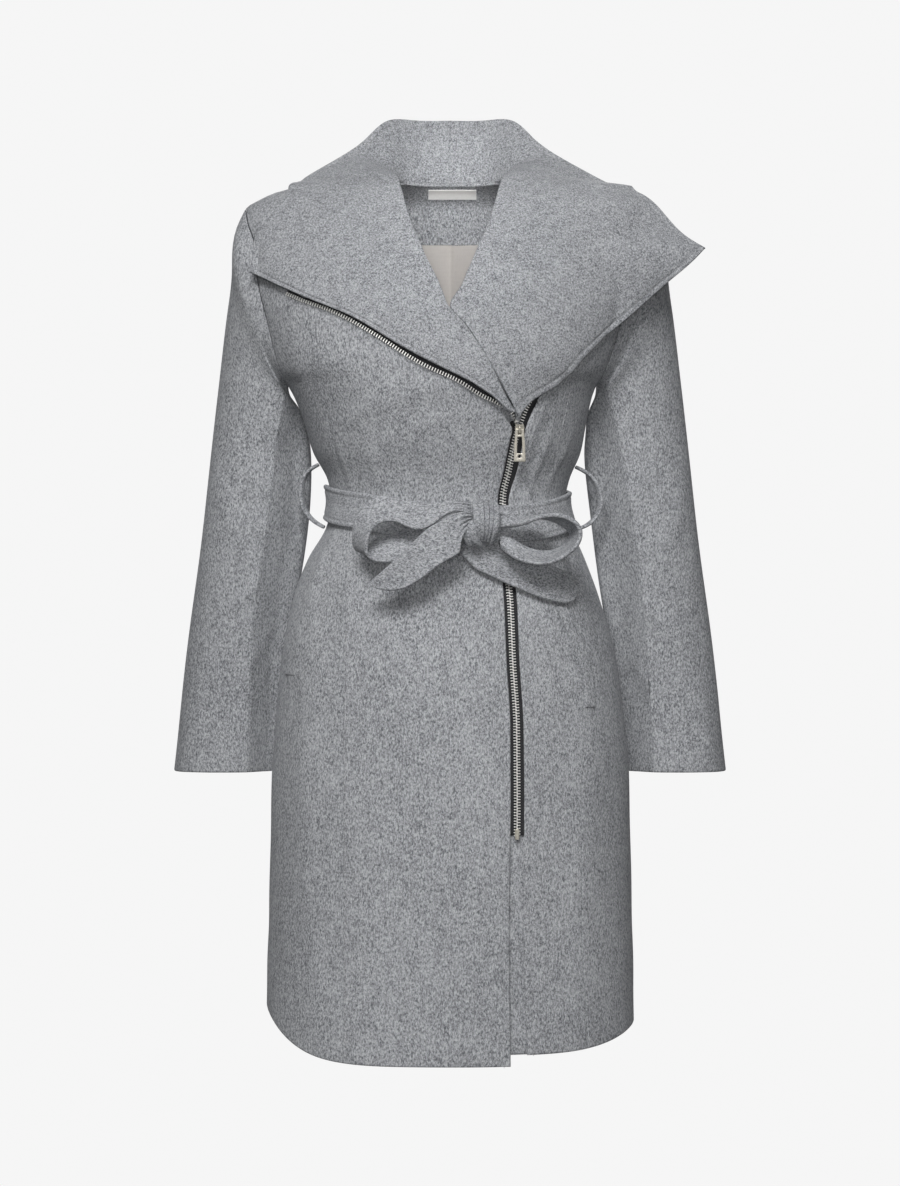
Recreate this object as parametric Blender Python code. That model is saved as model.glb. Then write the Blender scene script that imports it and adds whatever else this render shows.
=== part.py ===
"""Knee-length wool coat in its worn, filled-out form: slanting front zip, wide collar and a tied belt.

Metres, +Z up. The wearer faces -Y, and the wearer's left is +X. The origin is between the shoulders, at the
base of the neck, where the wearer holds the coat up. Every cloth piece is a wall on one shared body form.
"""
import math

import bmesh
import bpy
import numpy as np

# Cloth and seams
WOOL = 0.0025
DOUBLE_WOOL = 0.004  # two layers sewn together, as in the collar and the belt
BELT_THICK = 0.0045
FACING = 0.002
LINING = 0.001
SEAM = 0.0003  # gap between two pieces at a seam
LAID_ON = 0.0015  # gap under a piece that lies loosely on another

# The body form: a rounded section at each height. Each half has its own width and depth.
SECTION_POWER = 2.2  # 2 is an ellipse, more is squarer
UNDER_STRAIGHT = 0.85  # how far the under sleeve runs straight from its seams to the sleeve's inner side
BODY_COLUMNS = ("z", "right", "left", "front", "back", "mid")
BODY_SECTIONS = (
    (-0.885, 0.1885, 0.1890, 0.132, 0.138, 0.000),  # hem
    (-0.800, 0.1870, 0.1880, 0.130, 0.137, 0.000),
    (-0.700, 0.1855, 0.1865, 0.128, 0.136, 0.000),
    (-0.600, 0.1830, 0.1840, 0.126, 0.134, 0.000),
    (-0.530, 0.1775, 0.1770, 0.123, 0.131, 0.000),
    (-0.470, 0.1710, 0.1680, 0.118, 0.124, 0.000),
    (-0.420, 0.1610, 0.1535, 0.112, 0.115, 0.000),
    (-0.380, 0.1460, 0.1385, 0.105, 0.105, 0.000),
    (-0.345, 0.1270, 0.1245, 0.099, 0.096, 0.000),
    (-0.320, 0.1220, 0.1190, 0.096, 0.092, 0.000),  # waist, under the belt
    (-0.300, 0.1255, 0.1225, 0.099, 0.092, 0.000),
    (-0.270, 0.1410, 0.1345, 0.109, 0.096, 0.000),
    (-0.235, 0.1520, 0.1415, 0.119, 0.101, 0.000),
    (-0.203, 0.1660, 0.1500, 0.125, 0.105, 0.000),  # underarm
    (-0.189, 0.1790, 0.1640, 0.125, 0.107, 0.000),
    (-0.142, 0.1960, 0.1850, 0.120, 0.110, 0.000),
    (-0.097, 0.2095, 0.2015, 0.106, 0.108, 0.000),
    (-0.054, 0.2140, 0.2105, 0.086, 0.099, 0.002),
    (-0.039, 0.2165, 0.2140, 0.078, 0.094, 0.004),
    (-0.019, 0.2105, 0.2105, 0.064, 0.084, 0.006),  # shoulder tip
    (-0.010, 0.1970, 0.1970, 0.057, 0.079, 0.008),
    (-0.004, 0.1850, 0.1850, 0.052, 0.074, 0.010),
    (0.000, 0.1740, 0.1740, 0.049, 0.069, 0.012),
    (0.008, 0.1180, 0.1180, 0.041, 0.056, 0.017),
    (0.014, 0.0590, 0.0590, 0.032, 0.042, 0.022),  # neck seam
)
HEM_Z, UNDERARM_Z, SHOULDER_Z, NECK_Z = -0.885, -0.203, -0.019, 0.014
HEM_RISE_FROM_Z = -0.700
HEM_SIDE_RISE = {"right": 0.047, "left": 0.031}  # the hem curves up towards each side seam
HEM_RISE_POWER = 6
LEFT_FRONT_SHORTER = 0.011

# Seams and free edges, as x at each height
ARMHOLE_COLUMNS = ("z", "right", "left")
ARMHOLE = (
    (-0.203, 0.1660, 0.1500),
    (-0.189, 0.1730, 0.1580),
    (-0.142, 0.1850, 0.1730),
    (-0.097, 0.1955, 0.1880),
    (-0.054, 0.2004, 0.1970),
    (-0.039, 0.2060, 0.2040),
    (-0.019, 0.2105, 0.2105),
)
FRONT_COLUMNS = ("z", "right_princess", "left_princess", "right_edge", "left_edge", "underlap_edge")
FRONT_LINES = (
    (-0.885, -0.107, 0.139, 0.0605, 0.0770, 0.036),
    (-0.745, -0.107, 0.131, 0.0590, 0.0730, 0.034),
    (-0.613, -0.107, 0.131, 0.0605, 0.0742, 0.034),
    (-0.550, -0.107, 0.139, 0.0603, 0.0735, 0.032),
    (-0.480, -0.107, 0.134, 0.0565, 0.0695, 0.029),
    (-0.430, -0.105, 0.113, 0.0545, 0.0675, 0.028),
    (-0.325, -0.106, 0.100, 0.0480, 0.0590, 0.024),
    (-0.290, -0.112, 0.105, 0.0550, 0.0682, 0.032),
    (-0.265, -0.118, 0.109, 0.0598, 0.0730, 0.040),
    (-0.252, -0.121, 0.112, 0.0625, 0.0757, 0.044),
    (-0.240, -0.124, 0.115, 0.0560, 0.0800, 0.046),
    (-0.216, -0.128, 0.120, 0.0460, 0.0905, 0.046),
    (-0.182, -0.132, 0.126, 0.0330, 0.0950, 0.030),
    (-0.133, -0.136, 0.131, -0.0010, 0.0870, 0.006),
    (-0.096, -0.137, 0.133, -0.0170, 0.0790, 0.018),
    (-0.060, -0.136, 0.133, -0.0325, 0.0740, 0.031),
    (-0.022, -0.133, 0.131, -0.0450, 0.0700, 0.043),
    (0.012, -0.130, 0.130, -0.0555, 0.0660, 0.054),
)
SKIRT_ROWS = (-0.885, -0.80, -0.71, -0.62, -0.54, -0.48, -0.43, -0.385, -0.35, -0.32, -0.295, -0.27, -0.235)
SHOULDER_ROWS = (-0.010, -0.003, 0.004, 0.009, 0.014)
ARMHOLE_STEPS = 8  # rows from the underarm to the shoulder tip, closer together at both ends
PRINCESS_MEETS_SHOULDER_Z = 0.004

# Sleeves: each section lies between an outer and an inner point. Its ring has its own depth and middle in Y.
SLEEVE_COLUMNS = (
    "outer_x", "outer_z", "right_in", "left_in", "inner_z", "bow", "mid_y", "half_depth", "seam_deg",
)
SLEEVE_SECTIONS = (
    (0.2170, -0.036, 0.1653, 0.1498, -0.211, 0.010, 0.0050, 0.0465, 33),
    (0.2225, -0.078, 0.1594, 0.1464, -0.220, 0.010, 0.0135, 0.0485, 42),
    (0.2300, -0.124, 0.1522, 0.1425, -0.231, 0.006, 0.0250, 0.0495, 52),
    (0.2380, -0.181, 0.1482, 0.1415, -0.246, 0.002, 0.0325, 0.0490, 62),
    (0.2470, -0.262, 0.1450, 0.1400, -0.268, 0.000, 0.0350, 0.0480, 73),
    (0.2540, -0.322, 0.1448, 0.1440, -0.322, 0.000, 0.0340, 0.0470, 76),
    (0.2615, -0.380, 0.1520, 0.1515, -0.380, 0.000, 0.0380, 0.0460, 78),
    (0.2720, -0.460, 0.1665, 0.1645, -0.460, 0.000, 0.0440, 0.0455, 74),
    (0.2805, -0.530, 0.1740, 0.1740, -0.530, 0.000, 0.0450, 0.0450, 69),
    (0.2880, -0.600, 0.1810, 0.1820, -0.600, 0.000, 0.0430, 0.0440, 64),  # cuff
)
ARMHOLE_SEAM_DEG = 22.5  # where the two sleeve seams start on the armhole, from the underarm
SLEEVE_GAP = 0.0008
UNDER_SLEEVE_STEPS, UPPER_SLEEVE_STEPS = 4, 14

# Collar and lapel in one, from the centre back to the zip's slider. Its free edge is given as x, y, z.
NECK_ROW_COLUMNS = ("angle_deg", "seat", "edge_x", "edge_y", "edge_z", "lift")
NECK_ROWS = (
    (180, 0.0010, 0.0000, 0.076, 0.0830, 0.001),
    (155, 0.0012, 0.0360, 0.073, 0.0830, 0.001),
    (130, 0.0025, 0.0645, 0.060, 0.0810, 0.002),
    (110, 0.0045, 0.0890, 0.045, 0.0590, 0.004),
    (95, 0.0060, 0.1120, 0.033, 0.0410, 0.006),
)
LAPEL_COLUMNS = ("roll_x", "roll_z", "edge_x", "edge_y", "edge_z", "lift", "clear")
RIGHT_LAPEL = (
    (-0.0530, 0.006, -0.1430, 0.0200, 0.0205, 0.004, 0.0016),
    (-0.0505, -0.003, -0.1540, 0.0100, 0.0115, 0.003, 0.0016),
    (-0.0480, -0.012, -0.1610, -0.0060, 0.0010, 0.003, 0.0016),
    (-0.0450, -0.024, -0.1680, -0.0300, -0.0110, 0.003, 0.0018),
    (-0.0415, -0.036, -0.1745, -0.0400, -0.0220, 0.003, 0.0020),
    (-0.0380, -0.047, -0.1830, -0.0440, -0.0320, 0.003, 0.0024),
    (-0.0340, -0.057, -0.1920, -0.0450, -0.0420, 0.003, 0.0028),
    (-0.0300, -0.067, -0.1990, -0.0450, -0.0530, 0.003, 0.0036),
    (-0.0275, -0.073, -0.2015, -0.0500, -0.0710, 0.003, 0.0042),
    (-0.0250, -0.080, -0.2040, -0.0560, -0.0890, 0.003, 0.0048),  # tip
    (-0.0160, -0.098, -0.1800, -0.0700, -0.1015, 0.003, 0.0058),
    (-0.0070, -0.119, -0.1585, -0.0850, -0.1125, 0.003, 0.0060),
    (-0.0010, -0.133, -0.1285, -0.1000, -0.1260, 0.003, 0.0060),
    (0.0120, -0.147, -0.0953, -0.1120, -0.1410, 0.002, 0.0060),
    (0.0240, -0.164, -0.0518, -0.1220, -0.1683, 0.002, 0.0060),
    (0.0360, -0.183, -0.0100, -0.1270, -0.1905, 0.001, 0.0060),
    (0.0480, -0.209, 0.0232, -0.1270, -0.2072, 0.000, 0.0062),
    (0.0555, -0.225, 0.0440, -0.1230, -0.2205, 0.000, 0.0072),
    (0.0596, -0.2335, 0.0555, -0.1190, -0.2312, 0.000, 0.0088),
)
LEFT_LAPEL = (
    (0.0530, 0.006, 0.1430, 0.0190, 0.0215, 0.004, 0.0016),
    (0.0505, -0.003, 0.1600, 0.0110, 0.0110, 0.003, 0.0016),
    (0.0480, -0.012, 0.1760, 0.0010, 0.0035, 0.003, 0.0016),
    (0.0450, -0.024, 0.1920, -0.0080, -0.0015, 0.003, 0.0018),
    (0.0415, -0.036, 0.2080, -0.0170, -0.0120, 0.003, 0.0020),
    (0.0375, -0.047, 0.2220, -0.0260, -0.0290, 0.003, 0.0024),
    (0.0340, -0.057, 0.2400, -0.0370, -0.0500, 0.003, 0.0028),
    (0.0290, -0.068, 0.2600, -0.0450, -0.0640, 0.003, 0.0030),  # tip
    (0.0230, -0.083, 0.2480, -0.0500, -0.0770, 0.003, 0.0030),
    (0.0170, -0.097, 0.2210, -0.0560, -0.1010, 0.003, 0.0030),
    (0.0090, -0.115, 0.1840, -0.0640, -0.1340, 0.003, 0.0030),
    (0.0010, -0.132, 0.1530, -0.0780, -0.1600, 0.003, 0.0028),
    (0.0140, -0.147, 0.1290, -0.0900, -0.1840, 0.003, 0.0028),
    (0.0260, -0.164, 0.1100, -0.0980, -0.2060, 0.002, 0.0028),
    (0.0380, -0.183, 0.0900, -0.1070, -0.2180, 0.001, 0.0028),
    (0.0520, -0.209, 0.0760, -0.1130, -0.2310, 0.000, 0.0028),
    (0.0650, -0.236, 0.0690, -0.1150, -0.2410, 0.000, 0.0028),
)
COLLAR_ACROSS = (0.0, 0.08, 0.20, 0.34, 0.50, 0.66, 0.82, 1.0)
NECK_CLEAR = 0.0016  # between the collar's underside and the shoulders
PUSH_STEPS, PUSH_MOST = 12, 0.003
CLOSER_FROM_ROW = 8  # the lapels' rows are closer together from this one down

# Inside of the back neck
FACING_LOW_Z, LINING_LOW_Z = -0.046, -0.147
BACK_STEPS, BACK_NECK_STEPS = 7, 4  # steps across half of the back, and how many the facing covers
LABEL_LEFT_X, LABEL_RIGHT_X, LABEL_LOW_Z, LABEL_TOP_Z = 0.028, -0.023, 0.0028, 0.0125
LABEL, LABEL_GAP = 0.0006, 0.0007

# Belt
BELT_HALF_WIDTH = 0.019
BELT_COLUMNS = ("angle_deg", "z")
BELT_LINE = (
    (-180, -0.321), (-90, -0.322), (-50, -0.331), (-15, -0.342), (18, -0.347), (50, -0.341), (90, -0.328),
    (180, -0.321),
)
BELT_STEPS = 40
KNOT_CENTRE, KNOT_HALF, KNOT_POWER = (0.0350, -0.1202, -0.3440), (0.0140, 0.0140, 0.0220), 2.8
STRAP_COLUMNS = ("x", "y", "z", "across_x", "across_y", "across_z", "half_width")
BELT_STRAPS = {
    "right_belt_loop": (
        (0.0205, -0.1205, -0.3315, 0.00, 0.14, 0.99, 0.0071),
        (0.0050, -0.1255, -0.3294, 0.00, 0.33, 0.94, 0.0061),
        (-0.0104, -0.1275, -0.3335, -0.18, 0.30, 0.94, 0.0083),
        (-0.0253, -0.1298, -0.3385, -0.19, 0.32, 0.93, 0.0132),
        (-0.0411, -0.1310, -0.3375, -0.22, 0.38, 0.90, 0.0159),
        (-0.0609, -0.1318, -0.3316, -0.30, 0.44, 0.84, 0.0152),
        (-0.0797, -0.1305, -0.3392, -0.48, 0.54, 0.69, 0.0139),
        (-0.0888, -0.1273, -0.3580, -0.59, 0.68, 0.43, 0.0129),
        (-0.0860, -0.1205, -0.3752, -0.44, 0.87, 0.24, 0.0132),
        (-0.0721, -0.1160, -0.3732, -0.11, 0.73, 0.68, 0.0164),
        (-0.0487, -0.1162, -0.3687, 0.05, 0.49, 0.87, 0.0179),
        (-0.0189, -0.1157, -0.3637, 0.06, 0.37, 0.93, 0.0156),
        (0.0060, -0.1143, -0.3553, 0.00, 0.27, 0.96, 0.0104),
        (0.0205, -0.1140, -0.3493, 0.00, 0.14, 0.99, 0.0071),
    ),
    "left_belt_loop": (
        (0.0497, -0.1207, -0.3435, 0.01, 0.37, 0.93, 0.0075),
        (0.0566, -0.1205, -0.3444, 0.01, 0.86, 0.52, 0.0099),
        (0.0701, -0.1192, -0.3442, 0.06, 0.97, 0.22, 0.0136),
        (0.0870, -0.1187, -0.3402, 0.06, 1.00, 0.04, 0.0158),
        (0.1029, -0.1190, -0.3400, -0.06, 0.99, -0.13, 0.0162),
        (0.1163, -0.1185, -0.3449, -0.20, 0.96, -0.18, 0.0171),
        (0.1245, -0.1185, -0.3541, -0.27, 0.96, -0.08, 0.0172),
        (0.1227, -0.1185, -0.3643, -0.25, 0.96, 0.07, 0.0171),
        (0.1148, -0.1185, -0.3722, -0.17, 0.97, 0.19, 0.0171),
        (0.1019, -0.1195, -0.3785, -0.06, 0.94, 0.33, 0.0164),
        (0.0864, -0.1215, -0.3797, 0.02, 0.90, 0.44, 0.0150),
        (0.0690, -0.1222, -0.3740, 0.05, 0.82, 0.57, 0.0137),
        (0.0586, -0.1210, -0.3678, 0.10, 0.72, 0.68, 0.0111),
        (0.0497, -0.1175, -0.3628, 0.01, 0.57, 0.82, 0.0079),
    ),
    "right_belt_tail": (
        (0.0212, -0.1280, -0.3416, 0.00, 0.00, 1.00, 0.0050),
        (0.0119, -0.1365, -0.3468, -0.08, 0.04, 1.00, 0.0119),
        (0.0030, -0.1393, -0.3577, -0.32, 0.04, 0.95, 0.0188),
        (-0.0104, -0.1420, -0.3656, -0.34, 0.05, 0.94, 0.0189),
        (-0.0301, -0.1430, -0.3814, -0.49, 0.06, 0.87, 0.0171),
        (-0.0509, -0.1405, -0.3982, -0.58, 0.03, 0.82, 0.0145),
        (-0.0732, -0.1355, -0.4135, -0.69, 0.04, 0.73, 0.0116),
    ),
}
TAIL_COLUMNS = ("x", "z", "raised", "half_width")
LEFT_TAIL = (
    (0.0140, -0.3715, 0.0070, 0.0075), (0.0220, -0.3758, 0.0068, 0.0105), (0.0320, -0.3803, 0.0060, 0.0146),
    (0.0575, -0.3905, 0.0045, 0.0160),
    (0.0862, -0.4020, 0.0040, 0.0170), (0.1130, -0.4125, 0.0040, 0.0150), (0.1235, -0.4155, 0.0040, 0.0130),
)
CARRIER_COLUMNS = ("x", "z")
RIGHT_CARRIER = (
    (-0.1349, -0.2830), (-0.1455, -0.2900), (-0.1515, -0.3030), (-0.1520, -0.3190), (-0.1470, -0.3330),
    (-0.1370, -0.3430), (-0.1292, -0.3475),
)
LEFT_CARRIER = (
    (0.1289, -0.2855), (0.1410, -0.2920), (0.1510, -0.3050), (0.1545, -0.3200), (0.1510, -0.3345),
    (0.1410, -0.3450), (0.1290, -0.3500),
)
CARRIER_Y, CARRIER_HALF_WIDTH, CARRIER_THICK = -0.0085, 0.0040, 0.0035

# Zip: tapes and rows of teeth lie between the two front edges, and part above the slider
TAPE, TAPE_TOP = 0.0008, -0.0033
TEETH_TOP, TEETH_BOTTOM = -0.0008, -0.0040
TEETH_WIDTH, TAPE_WIDTH = 0.0028, 0.0090
UNDERLAP_TOP, UNDERLAP_SEAM = -0.0060, 0.010
ZIP_END_Z, SLIDER_Z = -0.656, -0.2510
OPEN_STEP = 0.014  # along the open parts
OPEN_COLUMNS = ("x", "z", "raised", "turn_deg", "tape_share")
RIGHT_OPEN_ZIP = (
    (0.0688, -0.2440, 0.0000, 0, 0.35), (0.0660, -0.2405, 0.0022, 60, 0.12),
    (0.0620, -0.2365, 0.0032, 120, 0.12), (0.0565, -0.2325, 0.0018, 180, 0.25),
    (0.0460, -0.2265, 0.0002, 180, 0.60), (0.0300, -0.2190, 0.0002, 180, 1.0),
    (0.0100, -0.2070, 0.0002, 180, 1.0), (-0.0290, -0.1885, 0.0002, 180, 1.0),
    (-0.0770, -0.1578, 0.0002, 180, 1.0),
    (-0.1140, -0.1362, 0.0002, 180, 1.0), (-0.1450, -0.1235, 0.0002, 180, 1.0),
    (-0.1630, -0.1150, 0.0002, 180, 1.0),
)
LEFT_OPEN_ZIP = (
    (0.0712, -0.2440, 0.0, 0, 1.0), (0.0755, -0.2330, 0.0, 0, 1.0), (0.0845, -0.2130, 0.0, 0, 1.0),
    (0.0885, -0.1820, -0.0004, 0, 1.0), (0.0815, -0.1330, -0.0007, 0, 1.0),
    (0.0745, -0.1000, -0.0007, 0, 1.0),
)
STOP_WIDTH, STOP_HEIGHT = 0.0064, 0.0040

# Slider and its pull
SLIDER_TOP_WIDTH, SLIDER_LOW_WIDTH, SLIDER_HEIGHT, SLIDER_THICK = 0.0098, 0.0072, 0.0125, 0.0022
SLIDER_RAISED = 0.0008
BAIL_WIDTH, BAIL_HEIGHT, BAIL_RISE, BAIL_WIRE = 0.0020, 0.0086, 0.0038, 0.0012
PULL_PLAY = 0.0004
PULL_LENGTH, PULL_TOP_WIDTH, PULL_LOW_WIDTH, PULL_THICK = 0.0325, 0.0088, 0.0120, 0.0014
PULL_EYE_WIDTH, PULL_EYE_HEIGHT, PULL_BAR = 0.0034, 0.0042, 0.0014
PULL_SLOT_WIDTH, PULL_SLOT_HEIGHT, PULL_SLOT_Z = 0.0044, 0.0165, -0.0152
PULL_HOLE_RADIUS, PULL_HOLE_Z = 0.0016, -0.0265

# Side pockets: the strip that faces the mouth
RIGHT_POCKET = ((-0.1370, -0.383), (-0.1510, -0.415), (-0.1620, -0.455), (-0.1665, -0.498))
LEFT_POCKET = ((0.1150, -0.425), (0.1330, -0.465), (0.1430, -0.500), (0.1450, -0.530))
POCKET_WIDTH, POCKET_THICK, POCKET_GAP = 0.011, 0.0022, 0.0009

COLOURS = {
    "wool": ((0.30, 0.32, 0.34, 1.0), 0.95, 0.0),
    "lining": ((0.52, 0.47, 0.43, 1.0), 0.45, 0.0),
    "label": ((0.86, 0.85, 0.82, 1.0), 0.6, 0.0),
    "tape": ((0.012, 0.012, 0.013, 1.0), 0.9, 0.0),
    "teeth": ((0.72, 0.70, 0.66, 1.0), 0.3, 1.0),
    "nickel": ((0.76, 0.73, 0.66, 1.0), 0.25, 1.0),
}


def smooth_curve(places, values):
    """A smooth curve through the points that never overshoots them, as a function of an array of places."""
    places, values = np.asarray(places, float), np.asarray(values, float)
    steps = np.diff(places)
    slopes = np.diff(values) / steps
    bends = np.concatenate([slopes[:1], np.zeros(len(places) - 2), slopes[-1:]])
    for i in range(1, len(places) - 1):
        if slopes[i - 1] * slopes[i] > 0:
            before, after = 2 * steps[i] + steps[i - 1], steps[i] + 2 * steps[i - 1]
            bends[i] = (before + after) / (before / slopes[i - 1] + after / slopes[i])

    def at(place):
        i = np.clip(np.searchsorted(places, place) - 1, 0, len(steps) - 1)
        t = np.clip((place - places[i]) / steps[i], 0.0, 1.0)
        rise = values[i] * (1 + 2 * t) * (1 - t) ** 2 + values[i + 1] * t * t * (3 - 2 * t)
        return rise + steps[i] * (bends[i] * t * (1 - t) ** 2 - bends[i + 1] * t * t * (1 - t))

    return at


def curves(names, rows):
    """One smooth curve per column of a table, each a function of the first column."""
    columns = np.array(rows).T
    return {name: smooth_curve(columns[0], values) for name, values in zip(names[1:], columns[1:])}


BODY = curves(BODY_COLUMNS, BODY_SECTIONS)
ARM = curves(ARMHOLE_COLUMNS, ARMHOLE)
FRONT = curves(FRONT_COLUMNS, FRONT_LINES)
BELT_Z = curves(BELT_COLUMNS, BELT_LINE)["z"]


def body_share(point):
    """Says how far out points lie: 0 on the body form, positive outside it, negative inside."""
    x, y, z = np.moveaxis(point, -1, 0)
    half = np.where(x < 0, BODY["right"](z), BODY["left"](z))
    depth_y = y - BODY["mid"](z)
    depth = np.where(depth_y < 0, BODY["front"](z), BODY["back"](z))
    scale = (np.abs(x) / half) ** SECTION_POWER + (np.abs(depth_y) / depth) ** SECTION_POWER
    return 1 - scale ** (-1 / SECTION_POWER)


def body_normal(point):
    """Unit normals of the body form, pointing out, and how fast the share grows along them."""
    step = 1e-4
    around = [body_share(point + offset) - body_share(point - offset) for offset in np.eye(3) * step]
    slope = np.stack(around, axis=-1) / (2 * step)
    steepness = np.linalg.norm(slope, axis=-1, keepdims=True)
    return slope / steepness, steepness[..., 0]


def body(angle, z, out=0.0):
    """Points on the body form at an angle from straight front, positive to the wearer's left, moved out."""
    angle, z = np.broadcast_arrays(np.asarray(angle, float), np.asarray(z, float))
    sine, cosine = np.sin(angle), np.cos(angle)
    half = np.where(sine < 0, BODY["right"](z), BODY["left"](z))
    depth = np.where(cosine > 0, BODY["front"](z), BODY["back"](z))
    power = 2 / SECTION_POWER
    x = half * np.sign(sine) * np.abs(sine) ** power
    y = BODY["mid"](z) - depth * np.sign(cosine) * np.abs(cosine) ** power
    point = np.stack([x, y, z], axis=-1)
    return point + np.asarray(out)[..., None] * body_normal(point)[0]


def angle_at(x, z, behind=False):
    """The angle at which the body form has this x, on its front or its back."""
    half = np.where(np.asarray(x) < 0, BODY["right"](z), BODY["left"](z))
    share = np.clip(np.abs(x) / half, 0.0, 1.0) ** (SECTION_POWER / 2)
    angle = np.arcsin(share)
    return np.sign(x) * np.where(behind, math.pi - angle, angle)


def front_point(x, z, out):
    return body(angle_at(x, z), z, out)


def smoothstep(value):
    value = np.clip(value, 0.0, 1.0)
    return value * value * (3 - 2 * value)


def raise_hem(points, shorter=0.0):
    """Curves the hem up towards the side seams, and shortens one front by a little."""
    x, z = points[..., 0], points[..., 2]
    half = np.where(x < 0, BODY["right"](z), BODY["left"](z))
    side = np.clip(np.abs(x) / half, 0.0, 1.0) ** HEM_RISE_POWER
    rise = np.where(x < 0, HEM_SIDE_RISE["right"], HEM_SIDE_RISE["left"]) * side
    low = smoothstep((HEM_RISE_FROM_Z - z) / (HEM_RISE_FROM_Z - HEM_Z))
    raised = points.copy()
    raised[..., 2] += low * (rise + shorter * (1 - side))
    return raised


def new_object(name, mesh, colour, collection):
    """An object with its own material, in one of the coat's colours."""
    obj = bpy.data.objects.new(name, mesh)
    collection.objects.link(obj)
    tint, roughness, metallic = COLOURS[colour]
    material = bpy.data.materials.new(f"{name}_{colour}")
    material.use_nodes = True
    shader = material.node_tree.nodes["Principled BSDF"]
    shader.inputs["Base Color"].default_value = tint
    shader.inputs["Roughness"].default_value = roughness
    shader.inputs["Metallic"].default_value = metallic
    mesh.materials.append(material)
    return obj


def wall(name, outer, inner, colour, collection, ring=False):
    """A closed wall between two grids of points. A ring's last column joins its first."""
    rows, columns = outer.shape[:2]
    count = rows * columns
    spans = columns if ring else columns - 1
    faces = []

    def index(row, column, side):
        return side * count + row * columns + column % columns

    for row in range(rows - 1):
        for column in range(spans):
            quad = [(row, column), (row, column + 1), (row + 1, column + 1), (row + 1, column)]
            faces.append([index(r, c, 0) for r, c in quad])
            faces.append([index(r, c, 1) for r, c in reversed(quad)])
    for column in range(spans):
        for row, a, b in ((0, column + 1, column), (rows - 1, column, column + 1)):
            faces.append([index(row, a, 0), index(row, b, 0), index(row, b, 1), index(row, a, 1)])
    if not ring:
        for row in range(rows - 1):
            for column, a, b in ((0, row, row + 1), (columns - 1, row + 1, row)):
                faces.append([index(a, column, 0), index(b, column, 0),
                              index(b, column, 1), index(a, column, 1)])
    mesh = bpy.data.meshes.new(name)
    mesh.from_pydata(np.concatenate([outer.reshape(-1, 3), inner.reshape(-1, 3)]).tolist(), [], faces)
    shape = bmesh.new()
    shape.from_mesh(mesh)
    bmesh.ops.recalc_face_normals(shape, faces=shape.faces)
    bmesh.ops.triangulate(shape, faces=shape.faces)
    shape.to_mesh(mesh)
    shape.free()
    mesh.shade_smooth()
    mesh.set_sharp_from_angle(angle=math.radians(40))
    return new_object(name, mesh, colour, collection)


def panel(name, rows, start, end, steps, colour, collection, top=0.0, thick=WOOL, shorter=0.0):
    """A wall on the body form. start and end give its boundary angles at each height."""
    z = np.array(rows)[:, None]
    share = np.linspace(0.0, 1.0, steps + 1)[None, :]
    angle = start(z) * (1 - share) + end(z) * share
    z = np.broadcast_to(z, angle.shape)
    outer = raise_hem(body(angle, z, top), shorter)
    inner = raise_hem(body(angle, z, top - thick), shorter)
    return wall(name, outer, inner, colour, collection)


def body_rows():
    turn = np.linspace(0.0, math.pi, ARMHOLE_STEPS + 1)
    middle, half = (UNDERARM_Z + SHOULDER_Z) / 2, (SHOULDER_Z - UNDERARM_Z) / 2
    return np.concatenate([SKIRT_ROWS, middle - half * np.cos(turn), SHOULDER_ROWS])


def side_line(side, behind):
    """The angle of the side seam, of the armhole and of the shoulder seam, as one line up one side."""
    sign = -1 if side == "right" else 1

    def at(z):
        x = sign * ARM[side](z)
        in_armhole = (z > UNDERARM_Z) & (z < SHOULDER_Z)
        depth = np.where(behind, BODY["back"](z), BODY["front"](z))
        trim = SEAM / 2 / depth
        seam = math.pi / 2 + np.where(behind, trim, -trim)
        return np.where(in_armhole, angle_at(x, z, behind), sign * seam)

    return at


def front_line(column, shift):
    """The angle of a seam or edge on the front, moved sideways by a trim."""
    return lambda z: angle_at(FRONT[column](z) + shift, z)


def make_fronts(collection):
    rows = body_rows()
    side_rows = rows[rows <= PRINCESS_MEETS_SHOULDER_Z]
    half = SEAM / 2
    right_side, left_side = side_line("right", False), side_line("left", False)
    panel("right_front_side", side_rows, right_side, front_line("right_princess", -half), 4, "wool",
          collection)
    panel("left_front_side", side_rows, front_line("left_princess", half), left_side, 4, "wool", collection,
          shorter=LEFT_FRONT_SHORTER)

    def right_outer(z):
        return np.maximum(front_line("right_princess", half)(z), right_side(z))

    def left_outer(z):
        return np.minimum(front_line("left_princess", -half)(z), left_side(z))

    panel("right_front_centre", rows[:-1], right_outer, front_line("right_edge", 0), 7, "wool", collection)
    panel("left_front_centre", rows[:-1], front_line("left_edge", 0), left_outer, 3, "wool", collection,
          shorter=LEFT_FRONT_SHORTER)
    panel("underlap", rows[:-1], front_line("underlap_edge", 0), front_line("left_edge", UNDERLAP_SEAM), 2,
          "wool", collection, top=UNDERLAP_TOP, shorter=LEFT_FRONT_SHORTER)


def make_backs(collection):
    rows = body_rows()
    for side, sign in (("right", -1), ("left", 1)):
        def centre(z):
            return angle_at(sign * SEAM / 2, z, True)

        panel(f"back_{side}", rows, side_line(side, True), centre, BACK_STEPS, "wool", collection)


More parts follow.
